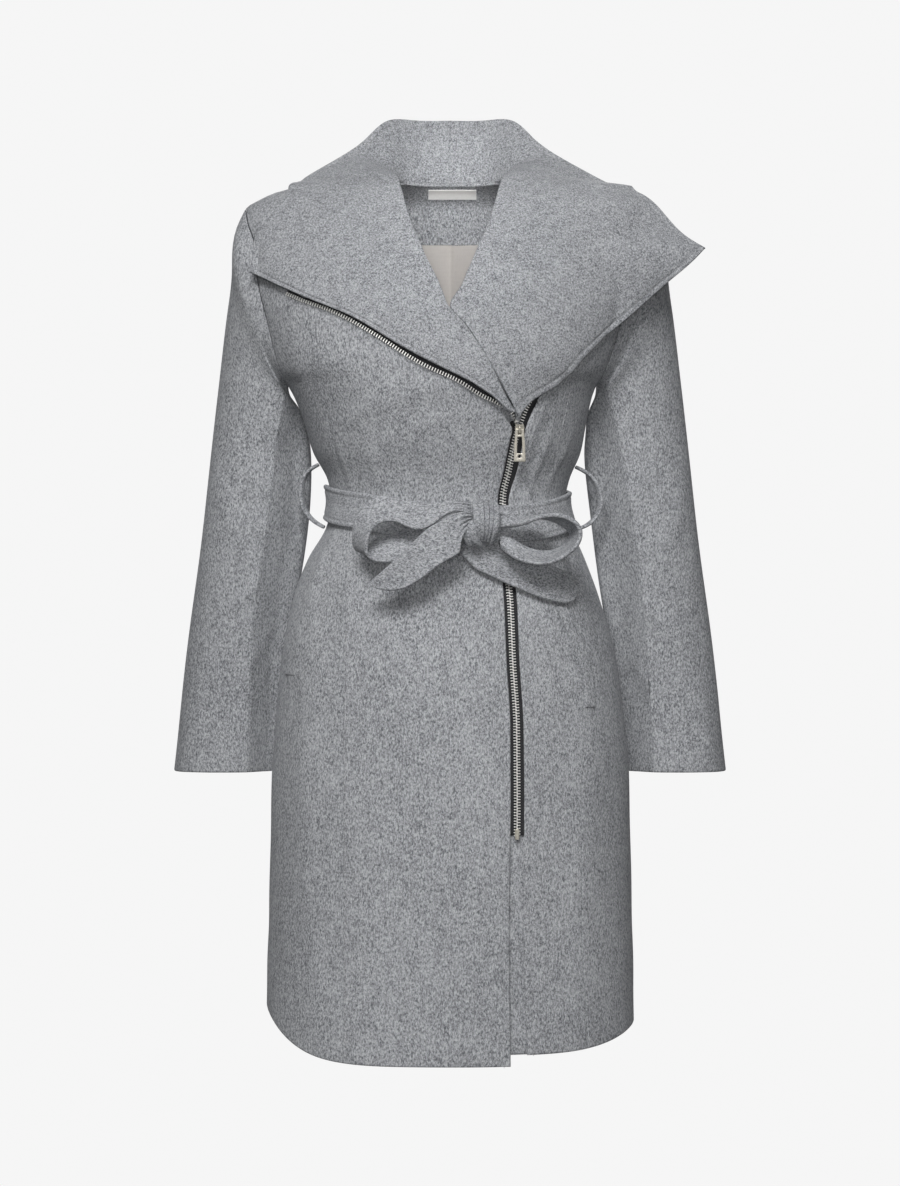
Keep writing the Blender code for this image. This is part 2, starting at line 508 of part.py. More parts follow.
def make_back_neck(collection):
    """The pieces inside the back neck follow the steps of the two back pieces, and so nest in them."""
    facing_top = -WOOL - SEAM
    rows = body_rows()
    joint = rows[np.argmin(np.abs(rows - FACING_LOW_Z))]
    facing_rows = rows[rows > joint - SEAM]
    facing_rows[0] += SEAM / 2
    lining_rows = rows[(rows > LINING_LOW_Z) & (rows < joint + SEAM)]
    lining_rows[-1] -= SEAM / 2
    share = 1 - BACK_NECK_STEPS / BACK_STEPS

    def start(z):
        return side_line("left", True)(z) * (1 - share) + math.pi * share

    def end(z):
        return 2 * math.pi + side_line("right", True)(z) * (1 - share) - math.pi * share

    steps = 2 * BACK_NECK_STEPS
    panel("back_neck_facing", facing_rows, start, end, steps, "wool", collection, top=facing_top,
          thick=FACING)
    panel("back_lining", lining_rows, start, end, steps, "lining", collection, top=facing_top, thick=LINING)
    z = np.linspace(LABEL_LOW_Z, LABEL_TOP_Z, 4)
    panel("neck_label", z, lambda at: angle_at(LABEL_LEFT_X, at, True),
          lambda at: 2 * math.pi + angle_at(LABEL_RIGHT_X, at, True), 6, "label", collection,
          top=facing_top - FACING - LABEL_GAP, thick=LABEL)


def sleeve_ring(row, side, degrees, shrink):
    """Points round one section of a sleeve. 0 degrees is its inner side, 90 its front, 180 its outer."""
    sign = -1 if side == "right" else 1
    at = dict(zip(SLEEVE_COLUMNS, row))
    outer = np.array([at["outer_x"], at["outer_z"]])
    inner = np.array([at[side + "_in"], at["inner_z"]])
    middle, half = (outer + inner) / 2, np.linalg.norm(outer - inner) / 2
    away = (outer - inner) / np.linalg.norm(outer - inner)
    turn, power = np.radians(degrees), 2 / SECTION_POWER
    cosine, sine = np.cos(turn), np.sin(turn)
    across, deep = np.sign(cosine) * np.abs(cosine) ** power, np.sign(sine) * np.abs(sine) ** power
    seam = math.radians(row[-1])
    near = np.clip(np.abs(np.arctan2(sine, cosine)) / seam, 0, 1)
    straight = UNDER_STRAIGHT * smoothstep(2 * near) * (near < 1)
    across += straight * (1 - near * (1 - math.cos(seam) ** power) - across)
    deep += straight * (np.sign(sine) * near * math.sin(seam) ** power - deep)
    along = -(half - shrink) * across
    y = at["mid_y"] - (at["half_depth"] - shrink) * deep
    x = middle[0] + away[0] * along + at["bow"] * np.abs(sine)
    return np.stack([sign * x, y, middle[1] + away[1] * along], axis=-1)


def armhole_ring(side, degrees, shrink):
    """The sleeve's first ring, just outside the armhole's edge."""
    sign = -1 if side == "right" else 1
    turn = np.radians(np.mod(degrees, 360))
    middle, half = (UNDERARM_Z + SHOULDER_Z) / 2, (SHOULDER_Z - UNDERARM_Z) / 2
    z = middle - half * np.cos(turn)
    edge = body(angle_at(sign * ARM[side](z), z, turn > math.pi), z)
    inward = np.stack([0 * z, BODY["mid"](z) - edge[:, 1], middle - z], axis=-1)
    inward[:, 2] *= 0.5
    inward /= np.linalg.norm(inward, axis=-1, keepdims=True)
    return edge + inward * shrink + np.array([sign * SLEEVE_GAP, 0, 0])


def make_sleeves(collection):
    for side in ("right", "left"):
        seams = [ARMHOLE_SEAM_DEG] + [row[-1] for row in SLEEVE_SECTIONS]
        trims = [0.0] + [math.degrees(SEAM / 2 / row[-2]) for row in SLEEVE_SECTIONS]
        trims[:6] = [6 * trims[1], 6 * trims[1], 5 * trims[2], 4 * trims[3], 3 * trims[4], 2 * trims[5]]
        for piece, steps in (("upper", UPPER_SLEEVE_STEPS), ("under", UNDER_SLEEVE_STEPS)):
            grids = []
            for shrink in (0.0, WOOL):
                rings = []
                for i, (seam, trim) in enumerate(zip(seams, trims)):
                    if piece == "upper":
                        degrees = np.linspace(seam + trim, 360 - seam - trim, steps + 1)
                    else:
                        degrees = np.linspace(trim - seam, seam - trim, steps + 1)
                    if i == 0:
                        rings.append(armhole_ring(side, degrees, shrink))
                    else:
                        rings.append(sleeve_ring(SLEEVE_SECTIONS[i - 1], side, degrees, shrink))
                grids.append(np.array(rings))
            wall(f"{side}_{piece}_sleeve", grids[0], grids[1], "wool", collection)


def push_out(points, gap):
    """Moves points that are nearer to the body form than the gap straight out to that distance."""
    moved = points.copy()
    for _ in range(PUSH_STEPS):
        normal, steepness = body_normal(moved)
        short = gap - body_share(moved) / steepness
        moved += normal * np.clip(short, 0.0, PUSH_MOST)[..., None]
    return moved


def grid_normals(grid):
    along = np.gradient(grid, axis=0)
    across = np.gradient(grid, axis=1)
    normal = np.cross(along, across)
    return normal / np.linalg.norm(normal, axis=-1, keepdims=True)


def halved_steps(rows, first=0):
    """The columns of a table, with a row added halfway between each two rows from the first one given."""
    table = np.array(rows)
    places = np.concatenate([np.arange(first), np.arange(2 * first, 2 * len(table) - 1) / 2])
    return [np.interp(places, np.arange(len(table)), column) for column in table.T]


def make_collar(side, lapel_rows, collection):
    sign = -1 if side == "right" else 1
    angle, seat, *neck_edge, neck_lift = halved_steps(NECK_ROWS)
    neck_roll = body(sign * np.radians(angle), NECK_Z) + seat[:, None] * np.array([0, 0, 1])
    neck_edge = np.stack(neck_edge, axis=1) * np.array([sign, 1, 1])
    roll_x, roll_z, *lapel_edge, lapel_lift, clear = halved_steps(lapel_rows, CLOSER_FROM_ROW)
    rolls = np.concatenate([neck_roll, front_point(roll_x, roll_z, clear + DOUBLE_WOOL)])
    edges = np.concatenate([neck_edge, np.stack(lapel_edge, axis=1)])
    lifts = np.concatenate([neck_lift, lapel_lift])
    gap = np.concatenate([np.full(len(angle), NECK_CLEAR), clear])[:, None] + DOUBLE_WOOL
    rolls[0, 0] = edges[0, 0] = sign * SEAM / 2
    share = np.array(COLLAR_ACROSS)[None, :, None]
    flat = rolls[:, None] * (1 - share) + edges[:, None] * share
    bulge = 4 * share * (1 - share) * lifts[:, None, None]
    grid = flat + sign * grid_normals(flat) * bulge
    free = len(angle)
    grid[free:] = push_out(grid[free:], gap[free:])
    facing = sign * grid_normals(grid)
    facing[0, :, 0] = 0
    facing /= np.linalg.norm(facing, axis=-1, keepdims=True)
    wall(f"{side}_collar", grid, grid - facing * DOUBLE_WOOL, "wool", collection)


def make_belt_band(collection):
    angle = np.linspace(-math.pi, math.pi, BELT_STEPS + 1)[:-1]
    middle = BELT_Z(np.degrees(angle))
    z = middle[None, :] + np.array([-1.0, 0.0, 1.0])[:, None] * BELT_HALF_WIDTH
    angle = np.broadcast_to(angle, z.shape)
    inner = body(angle, z, LAID_ON)
    outer = body(angle, z, LAID_ON + BELT_THICK)
    wall("belt_band", outer, inner, "wool", collection, ring=True)


def ribbon(name, centres, across, half_width, thick, colour, collection):
    """A flat strap along a path, with its own direction across and half width at each point."""
    centres, across = np.array(centres, float), np.array(across, float)
    half_width = np.asarray(half_width)[..., None]
    across /= np.linalg.norm(across, axis=1, keepdims=True)
    along = np.gradient(centres, axis=0)
    facing = np.cross(along, across)
    facing /= np.linalg.norm(facing, axis=1, keepdims=True)
    sides = np.stack([centres - across * half_width, centres, centres + across * half_width], axis=1)
    lift = facing[:, None] * thick / 2
    return wall(name, sides + lift, sides - lift, colour, collection)


def make_knot_and_bow(collection):
    mesh = bpy.data.meshes.new("belt_knot")
    shape = bmesh.new()
    bmesh.ops.create_uvsphere(shape, u_segments=16, v_segments=10, radius=1.0)
    for vertex in shape.verts:
        spread = sum(abs(value) ** KNOT_POWER for value in vertex.co) ** (1 / KNOT_POWER)
        for axis in range(3):
            vertex.co[axis] = KNOT_CENTRE[axis] + vertex.co[axis] / spread * KNOT_HALF[axis]
    shape.to_mesh(mesh)
    shape.free()
    mesh.shade_smooth()
    new_object("belt_knot", mesh, "wool", collection)
    for name, rows in BELT_STRAPS.items():
        table = np.array(rows)
        ribbon(name, table[:, :3], table[:, 3:6], table[:, 6], BELT_THICK, "wool", collection)
    table = np.array(LEFT_TAIL)
    path, raised, half = table[:, :2], table[:, 2], table[:, 3]
    strip_on_body("left_belt_tail", path, raised, (-half, half), BELT_THICK, 0.0, "wool", collection,
                  columns=2)


def make_carriers(collection):
    for name, rows in (("right_belt_carrier", RIGHT_CARRIER), ("left_belt_carrier", LEFT_CARRIER)):
        centres = [(x, CARRIER_Y, z) for x, z in rows]
        across = [(0.0, -1.0, 0.0)] * len(rows)
        ribbon(name, centres, across, CARRIER_HALF_WIDTH, CARRIER_THICK, "wool", collection)


def strip_on_body(name, path, raised, sides, top, bottom, colour, collection, turn=0.0, columns=1):
    """A flat strip along a path of x and z on the front. Its sides lie to the left of the path going up.

    turn rolls its section about the path, so that at half a turn it lies upside down on its other side.
    """
    along = np.gradient(path, axis=0)
    along /= np.linalg.norm(along, axis=1, keepdims=True)
    sideways = np.stack([-along[:, 1], along[:, 0]], axis=1)
    cosine, sine = np.cos(turn), np.sin(turn)
    walls = []
    for height in (top, bottom):
        lines = []
        for share in np.linspace(0.0, 1.0, columns + 1):
            side = sides[0] * (1 - share) + sides[1] * share
            place = path + sideways * (side * cosine - height * sine)[:, None]
            lines.append(front_point(place[:, 0], place[:, 1], raised + side * sine + height * cosine))
        walls.append(np.stack(lines, axis=1))
    return wall(name, walls[0], walls[1], colour, collection)


def zip_path(open_rows):
    """The zip from its lower end, closed up to the slider, then along its own open part, as five columns."""
    rows = body_rows()
    z = np.concatenate([[ZIP_END_Z], rows[(rows > ZIP_END_Z) & (rows < SLIDER_Z)], [SLIDER_Z]])
    x = (FRONT["right_edge"](z) + FRONT["left_edge"](z)) / 2
    closed = np.stack([x, z, 0 * z, 0 * z, 0 * z + 1], axis=1)
    table = np.array(open_rows)
    steps = np.linalg.norm(np.diff(table[:, :2], axis=0), axis=1)
    length = np.concatenate([[0], np.cumsum(steps)])
    places = np.unique(np.concatenate([length[:4], np.arange(length[4], length[-1], OPEN_STEP), length[-1:]]))
    opened = np.stack([smooth_curve(length, column)(places) for column in table.T], axis=1)
    return np.concatenate([closed, opened])


def make_zip(collection):
    for side, rows, sign in (("right", RIGHT_OPEN_ZIP, 1), ("left", LEFT_OPEN_ZIP, -1)):
        table = zip_path(rows)
        path, raised, turn, share = table[:, :2], table[:, 2], np.radians(table[:, 3]), table[:, 4]
        near, far = SEAM / 2, SEAM / 2 + TEETH_WIDTH
        level = 0 * share
        strip_on_body(f"{side}_zip_teeth", path, raised, (sign * (near + level), sign * (far + level)),
                      TEETH_TOP, TEETH_BOTTOM, "teeth", collection, turn)
        near, far = far + SEAM * (4 - 3 * share), far + SEAM * (4 - 3 * share) + TAPE_WIDTH * share
        strip_on_body(f"{side}_zip_tape", path, raised, (sign * near, sign * far), TAPE_TOP, TAPE_TOP - TAPE,
                      "tape", collection, turn)
    z = np.array([ZIP_END_Z - SEAM - STOP_HEIGHT, ZIP_END_Z - SEAM])
    path = np.stack([(FRONT["right_edge"](z) + FRONT["left_edge"](z)) / 2, z], axis=1)
    half = np.full(2, STOP_WIDTH / 2)
    strip_on_body("zip_end_stop", path, 0 * z, (-half, half), TEETH_TOP, TEETH_BOTTOM, "nickel", collection)


def prism(outline, low_y, high_y):
    """A closed bmesh prism of an outline in the X-Z plane, between two places in Y."""
    shape = bmesh.new()
    near = [shape.verts.new((x, low_y, z)) for x, z in outline]
    far = [shape.verts.new((x, high_y, z)) for x, z in outline]
    shape.faces.new(near)
    shape.faces.new(list(reversed(far)))
    for i in range(len(outline)):
        j = (i + 1) % len(outline)
        shape.faces.new([near[j], near[i], far[i], far[j]])
    bmesh.ops.recalc_face_normals(shape, faces=shape.faces)
    return shape


def prism_object(name, outline, low_y, high_y, colour, collection):
    mesh = bpy.data.meshes.new(name)
    shape = prism(outline, low_y, high_y)
    shape.to_mesh(mesh)
    shape.free()
    return new_object(name, mesh, colour, collection)


def box_outline(width, low_z, high_z):
    return [(-width / 2, low_z), (width / 2, low_z), (width / 2, high_z), (-width / 2, high_z)]


def boolean(obj, cutter, operation, cutters):
    for collection in cutter.users_collection:
        collection.objects.unlink(cutter)
    cutters.objects.link(cutter)
    cutter.hide_render = True
    cutter.display_type = "WIRE"
    modifier = obj.modifiers.new(f"{operation.lower()} {cutter.name}", "BOOLEAN")
    modifier.operation = operation
    modifier.object = cutter


def slider_seat():
    """The middle of the slider's back, on the closed zip, and the turn about X that lays it flat there."""
    z = SLIDER_Z + np.array([-1.0, 0.0, 1.0]) * SLIDER_HEIGHT / 2
    x = (FRONT["right_edge"](z) + FRONT["left_edge"](z)) / 2
    points = front_point(x, z, np.full(3, SLIDER_RAISED))
    rise = points[2] - points[0]
    return points[1], math.atan2(-rise[1], rise[2])


def make_slider_and_pull(collection, cutters):
    seat, tilt = slider_seat()
    half_height = SLIDER_HEIGHT / 2
    shoulder = 0.25 * half_height
    top, low = SLIDER_TOP_WIDTH / 2, SLIDER_LOW_WIDTH / 2
    outline = [(-low, -half_height), (low, -half_height), (top, shoulder), (top * 0.8, half_height),
               (-top * 0.8, half_height), (-top, shoulder)]
    plate_front = -SLIDER_THICK
    slider = prism_object("zip_slider", outline, plate_front, 0.0, "nickel", collection)
    slider.location = seat
    slider.rotation_euler = (tilt, 0, 0)
    bail = prism_object("bail", box_outline(BAIL_WIDTH, -BAIL_HEIGHT / 2, BAIL_HEIGHT / 2),
                        plate_front - BAIL_RISE, plate_front + 0.0005, "nickel", collection)
    eye_top = BAIL_HEIGHT / 2 - BAIL_WIRE
    window = prism_object("bail_window", box_outline(BAIL_WIDTH * 2, -eye_top, eye_top),
                          plate_front - BAIL_RISE + BAIL_WIRE, plate_front + 0.0, "nickel", collection)
    for helper in (bail, window):
        helper.location = seat
        helper.rotation_euler = (tilt, 0, 0)
    boolean(slider, bail, "UNION", cutters)
    boolean(slider, window, "DIFFERENCE", cutters)

    hinge = pull_hinge()
    top, low = PULL_TOP_WIDTH / 2, PULL_LOW_WIDTH / 2
    bar = PULL_BAR / 2
    shoulder_z = -PULL_LENGTH * 0.30
    corner = 0.0012
    end_z = -PULL_LENGTH + bar
    outline = [(-low + corner, end_z), (low - corner, end_z), (low, end_z + corner), (low * 0.86, shoulder_z),
               (top, -bar), (top - corner, bar), (-top + corner, bar), (-top, -bar), (-low * 0.86, shoulder_z),
               (-low, end_z + corner)]
    pull = prism_object("zip_pull", outline, -PULL_THICK / 2, PULL_THICK / 2, "nickel", collection)
    pull.location = hinge
    deep = PULL_THICK
    eye = prism_object("pull_eye", box_outline(PULL_EYE_WIDTH, -bar - PULL_EYE_HEIGHT, -bar), -deep, deep,
                       "nickel", collection)
    slot_low, slot_top = PULL_SLOT_Z - PULL_SLOT_HEIGHT / 2, PULL_SLOT_Z + PULL_SLOT_HEIGHT / 2
    slot = prism_object("pull_slot", box_outline(PULL_SLOT_WIDTH, slot_low, slot_top), -deep, deep,
                        "nickel", collection)
    around = np.linspace(0, 2 * math.pi, 10, endpoint=False)
    ring = [(PULL_HOLE_RADIUS * math.cos(a), PULL_HOLE_Z + PULL_HOLE_RADIUS * math.sin(a)) for a in around]
    hole = prism_object("pull_hole", ring, -deep, deep, "nickel", collection)
    for helper in (eye, slot, hole):
        helper.location = hinge
        boolean(pull, helper, "DIFFERENCE", cutters)


def pull_hinge():
    """The pull's axis, inside the slider's bail."""
    seat, tilt = slider_seat()
    forward = SLIDER_THICK + BAIL_RISE - BAIL_WIRE - PULL_PLAY - PULL_BAR / 2
    return seat + forward * np.array([0.0, -math.cos(tilt), -math.sin(tilt)])


def make_pockets(collection):
    for side, rows, sign in (("right", RIGHT_POCKET, 1), ("left", LEFT_POCKET, -1)):
        path = np.stack(halved_steps(rows[::-1]), axis=1)
        level = np.zeros(len(path))
        strip_on_body(f"{side}_pocket_facing", path, level, (level, level - sign * POCKET_WIDTH),
                      POCKET_GAP + POCKET_THICK, POCKET_GAP, "wool", collection)


def main():
    for obj in list(bpy.data.objects):
        bpy.data.objects.remove(obj)
    coat = bpy.data.collections.new("zip_up_coat")
    cutters = bpy.data.collections.new("cutters")
    bpy.context.scene.collection.children.link(coat)
    bpy.context.scene.collection.children.link(cutters)
    make_fronts(coat)
    make_backs(coat)
    make_back_neck(coat)
    make_sleeves(coat)
    make_collar("right", RIGHT_LAPEL, coat)
    make_collar("left", LEFT_LAPEL, coat)
    make_belt_band(coat)
    make_knot_and_bow(coat)
    make_carriers(coat)
    make_zip(coat)
    make_slider_and_pull(coat, cutters)
    make_pockets(coat)


main()
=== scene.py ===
"""The look of a wool coat with a slanting zip, a wide collar and a tied belt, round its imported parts.

Metres, +Z up, with the longer tables in millimetres. The wearer faces -Y, and the wearer's left is +X. Each
cloth piece is a thin wall made as two grids of points on the coat's body form, with its own rounded edges,
seams, folds and a UV map in metres.
"""
import math

import bmesh
import bpy
import mathutils
import numpy as np
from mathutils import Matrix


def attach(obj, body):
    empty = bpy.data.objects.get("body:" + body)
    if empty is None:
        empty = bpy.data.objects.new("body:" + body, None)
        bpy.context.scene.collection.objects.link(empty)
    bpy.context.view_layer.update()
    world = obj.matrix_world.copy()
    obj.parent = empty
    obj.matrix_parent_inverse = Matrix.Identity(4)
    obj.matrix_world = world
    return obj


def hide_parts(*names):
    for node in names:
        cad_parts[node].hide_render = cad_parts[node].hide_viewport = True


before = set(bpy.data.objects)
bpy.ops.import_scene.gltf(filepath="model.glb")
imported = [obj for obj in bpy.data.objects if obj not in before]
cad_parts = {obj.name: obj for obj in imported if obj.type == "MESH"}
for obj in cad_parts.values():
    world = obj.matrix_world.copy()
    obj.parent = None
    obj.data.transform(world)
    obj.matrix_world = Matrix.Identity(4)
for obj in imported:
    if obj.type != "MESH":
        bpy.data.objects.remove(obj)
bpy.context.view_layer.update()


def from_mm(rows, other=()):
    """A table in millimetres turned into metres, but for the columns in other, which aren't lengths."""
    return tuple(tuple(v if i in other else v / 1000 for i, v in enumerate(row)) for row in rows)


# Cloth and seams
WOOL = 0.0025
DOUBLE_WOOL = 0.004  # two layers sewn together, as in the collar and the belt
BELT_THICK = 0.0045
FACING = 0.002
LINING = 0.001
SEAM = 0.0001  # gap between two pieces at a seam
LAID_ON = 0.0015  # gap under a piece that lies loosely on another

# The body form: a rounded section at each height. Each half has its own width and depth.
SECTION_POWER = 2.2  # 2 is an ellipse, more is squarer
UNDER_STRAIGHT = 0.85  # how far the under sleeve runs straight from its seams to the sleeve's inner side
BODY_COLUMNS = ("z", "right", "left", "front", "back", "mid")
BODY_SECTIONS = from_mm((
    (-885, 188.5, 189, 132, 138, 0),  # hem
    (-800, 187, 188, 130, 137, 0), (-700, 185.5, 186.5, 128, 136, 0), (-600, 183, 184, 126, 134, 0),
    (-530, 177.5, 177, 123, 131, 0), (-470, 171, 168, 118, 124, 0), (-420, 161, 153.5, 112, 115, 0),
    (-380, 146, 138.5, 105, 105, 0), (-345, 127, 124.5, 99, 96, 0),
    (-320, 122, 119, 96, 92, 0),  # waist, under the belt
    (-300, 125.5, 122.5, 99, 92, 0), (-270, 141, 134.5, 109, 96, 0), (-235, 152, 141.5, 119, 101, 0),
    (-203, 166, 150, 125, 105, 0),  # underarm
    (-189, 179, 164, 125, 107, 0), (-142, 196, 185, 120, 110, 0), (-97, 209.5, 201.5, 106, 108, 0),
    (-54, 214, 210.5, 86, 99, 2), (-39, 216.5, 214, 78, 94, 4),
    (-19, 210.5, 210.5, 64, 84, 6),  # shoulder tip
    (-10, 197, 197, 57, 79, 8), (-4, 185, 185, 52, 74, 10), (0, 174, 174, 49, 69, 12),
    (8, 118, 118, 41, 56, 17),
    (14, 59, 59, 32, 42, 22),  # neck seam
))
HEM_Z, UNDERARM_Z, SHOULDER_Z, NECK_Z = -0.885, -0.203, -0.019, 0.014
HEM_RISE_FROM_Z = -0.700
HEM_SIDE_RISE = {"right": 0.047, "left": 0.031}  # the hem curves up towards each side seam
HEM_RISE_POWER = 6
LEFT_FRONT_SHORTER = 0.011

# Seams and free edges, as x at each height
ARMHOLE_COLUMNS = ("z", "right", "left")
ARMHOLE = from_mm((
    (-203, 166, 150), (-189, 173, 158), (-142, 185, 173), (-97, 195.5, 188), (-54, 200.4, 197),
    (-39, 206, 204), (-19, 210.5, 210.5),
))
FRONT_COLUMNS = ("z", "right_princess", "left_princess", "right_edge", "left_edge", "underlap_edge")
FRONT_LINES = from_mm((
    (-885, -107, 139, 60.5, 77, 36), (-745, -107, 131, 59, 73, 34), (-613, -107, 131, 60.5, 74.2, 34),
    (-550, -107, 139, 60.3, 73.5, 32), (-480, -107, 134, 56.5, 69.5, 29), (-430, -105, 113, 54.5, 67.5, 28),
    (-325, -106, 100, 48, 59, 24), (-290, -112, 105, 55, 68.2, 32), (-265, -118, 109, 59.8, 73, 40),
    (-252, -121, 112, 62.5, 75.7, 44), (-240, -124, 115, 56, 80, 46), (-216, -128, 120, 46, 90.5, 46),
    (-182, -132, 126, 33, 95, 30), (-133, -136, 131, -1, 87, 6), (-96, -137, 133, -17, 79, 18),
    (-60, -136, 133, -32.5, 74, 31), (-22, -133, 131, -45, 70, 43), (12, -130, 130, -55.5, 66, 54),
))
PRINCESS_MEETS_SHOULDER_Z, FRONT_TOP_Z = 0.004, 0.009

# Sleeves: each section lies between an outer and an inner point. Its ring has its own middle and depth in Y.
SLEEVE_COLUMNS = (
    "outer_x", "outer_z", "right_in", "left_in", "inner_z", "bow", "mid_y", "half_depth", "seam_deg",
)
SLEEVE_SECTIONS = from_mm((
    (217, -36, 165.3, 149.8, -211, 10, 5, 46.5, 33), (222.5, -78, 159.4, 146.4, -220, 10, 13.5, 48.5, 42),
    (230, -124, 152.2, 142.5, -231, 6, 25, 49.5, 52), (238, -181, 148.2, 141.5, -246, 2, 32.5, 49, 62),
    (247, -262, 145, 140, -268, 0, 35, 48, 73), (254, -322, 144.8, 144, -322, 0, 34, 47, 76),
    (261.5, -380, 152, 151.5, -380, 0, 38, 46, 78), (272, -460, 166.5, 164.5, -460, 0, 44, 45.5, 74),
    (280.5, -530, 174, 174, -530, 0, 45, 45, 69),
    (288, -600, 181, 182, -600, 0, 43, 44, 64),  # cuff
), (8,))
ARMHOLE_SEAM_DEG = 22.5  # where the two sleeve seams start on the armhole, from the underarm
SLEEVE_GAP = 0.0004

# Collar and lapel in one, from the centre back to the zip's slider
# Round the neck: degrees, how far the seam sits above the body, the free edge's x, y, z, and the lift
NECK_ROWS = from_mm((
    (180, 1, 0, 76, 83, 1), (155, 1.2, 36, 73, 83, 1), (130, 2.5, 64.5, 60, 81, 2),
    (110, 4.5, 89, 45, 59, 4), (95, 6, 112, 33, 41, 6),
), (0,))
# Down the front: the roll line's x and z, the free edge's x, y, z, the lift, and the gap over the body
RIGHT_LAPEL = from_mm((
    (-53, 6, -143, 20, 20.5, 4, 1.6), (-50.5, -3, -154, 10, 11.5, 3, 1.6), (-48, -12, -161, -6, 1, 3, 1.6),
    (-45, -24, -168, -30, -11, 3, 1.8), (-41.5, -36, -174.5, -40, -22, 3, 2),
    (-38, -47, -183, -44, -32, 3, 2.4), (-34, -57, -192, -45, -42, 3, 2.8),
    (-30, -67, -199, -45, -53, 3, 3.6), (-27.5, -73, -201.5, -50, -71, 3, 4.2),
    (-25, -80, -204, -56, -89, 3, 4.8),  # tip
    (-16, -98, -180, -70, -101.5, 3, 5.8), (-7, -119, -158.5, -85, -112.5, 3, 6),
    (-1, -133, -128.5, -100, -126, 3, 6), (12, -147, -95.3, -112, -141, 2, 6),
    (24, -164, -51.8, -122, -168.3, 2, 6), (36, -183, -10, -127, -190.5, 1, 6),
    (48, -209, 23.2, -127, -207.2, 0, 6.2), (55.5, -225, 44, -123, -220.5, 0, 7.2),
    (59.6, -233.5, 55.5, -119, -231.2, 0, 8.8),
))
LEFT_LAPEL = from_mm((
    (53, 6, 143, 19, 21.5, 4, 1.6), (50.5, -3, 160, 11, 11, 3, 1.6), (48, -12, 176, 1, 3.5, 3, 1.6),
    (45, -24, 192, -8, -1.5, 3, 1.8), (41.5, -36, 208, -17, -12, 3, 2), (37.5, -47, 222, -26, -29, 3, 2.4),
    (34, -57, 240, -37, -50, 3, 2.8),
    (29, -68, 260, -45, -64, 3, 3),  # tip
    (23, -83, 248, -50, -77, 3, 3), (17, -97, 221, -56, -101, 3, 3), (9, -115, 184, -64, -134, 3, 3),
    (1, -132, 153, -78, -160, 3, 2.8), (14, -147, 129, -90, -184, 3, 2.8),
    (26, -164, 110, -98, -206, 2, 2.8), (38, -183, 90, -107, -218, 1, 2.8),
    (52, -209, 76, -113, -231, 0, 2.8), (65, -236, 69, -115, -241, 0, 2.8),
))
RIGHT_TIP_ROW, LEFT_TIP_ROW = 9, 7
PUSH_STEPS, PUSH_MOST = 12, 0.003  # how often a point too near the body is moved out, and by how much at most

# Inside of the back neck
FACING_LOW_Z, LINING_LOW_Z = -0.046, -0.147
BACK_BARE_SHARE = 1 - 4 / 7  # how much of each half of the back, from its side in, has neither of them
LABEL_LEFT_X, LABEL_RIGHT_X, LABEL_LOW_Z, LABEL_TOP_Z = 0.028, -0.023, 0.0028, 0.0125
LABEL, LABEL_GAP = 0.0006, 0.0007

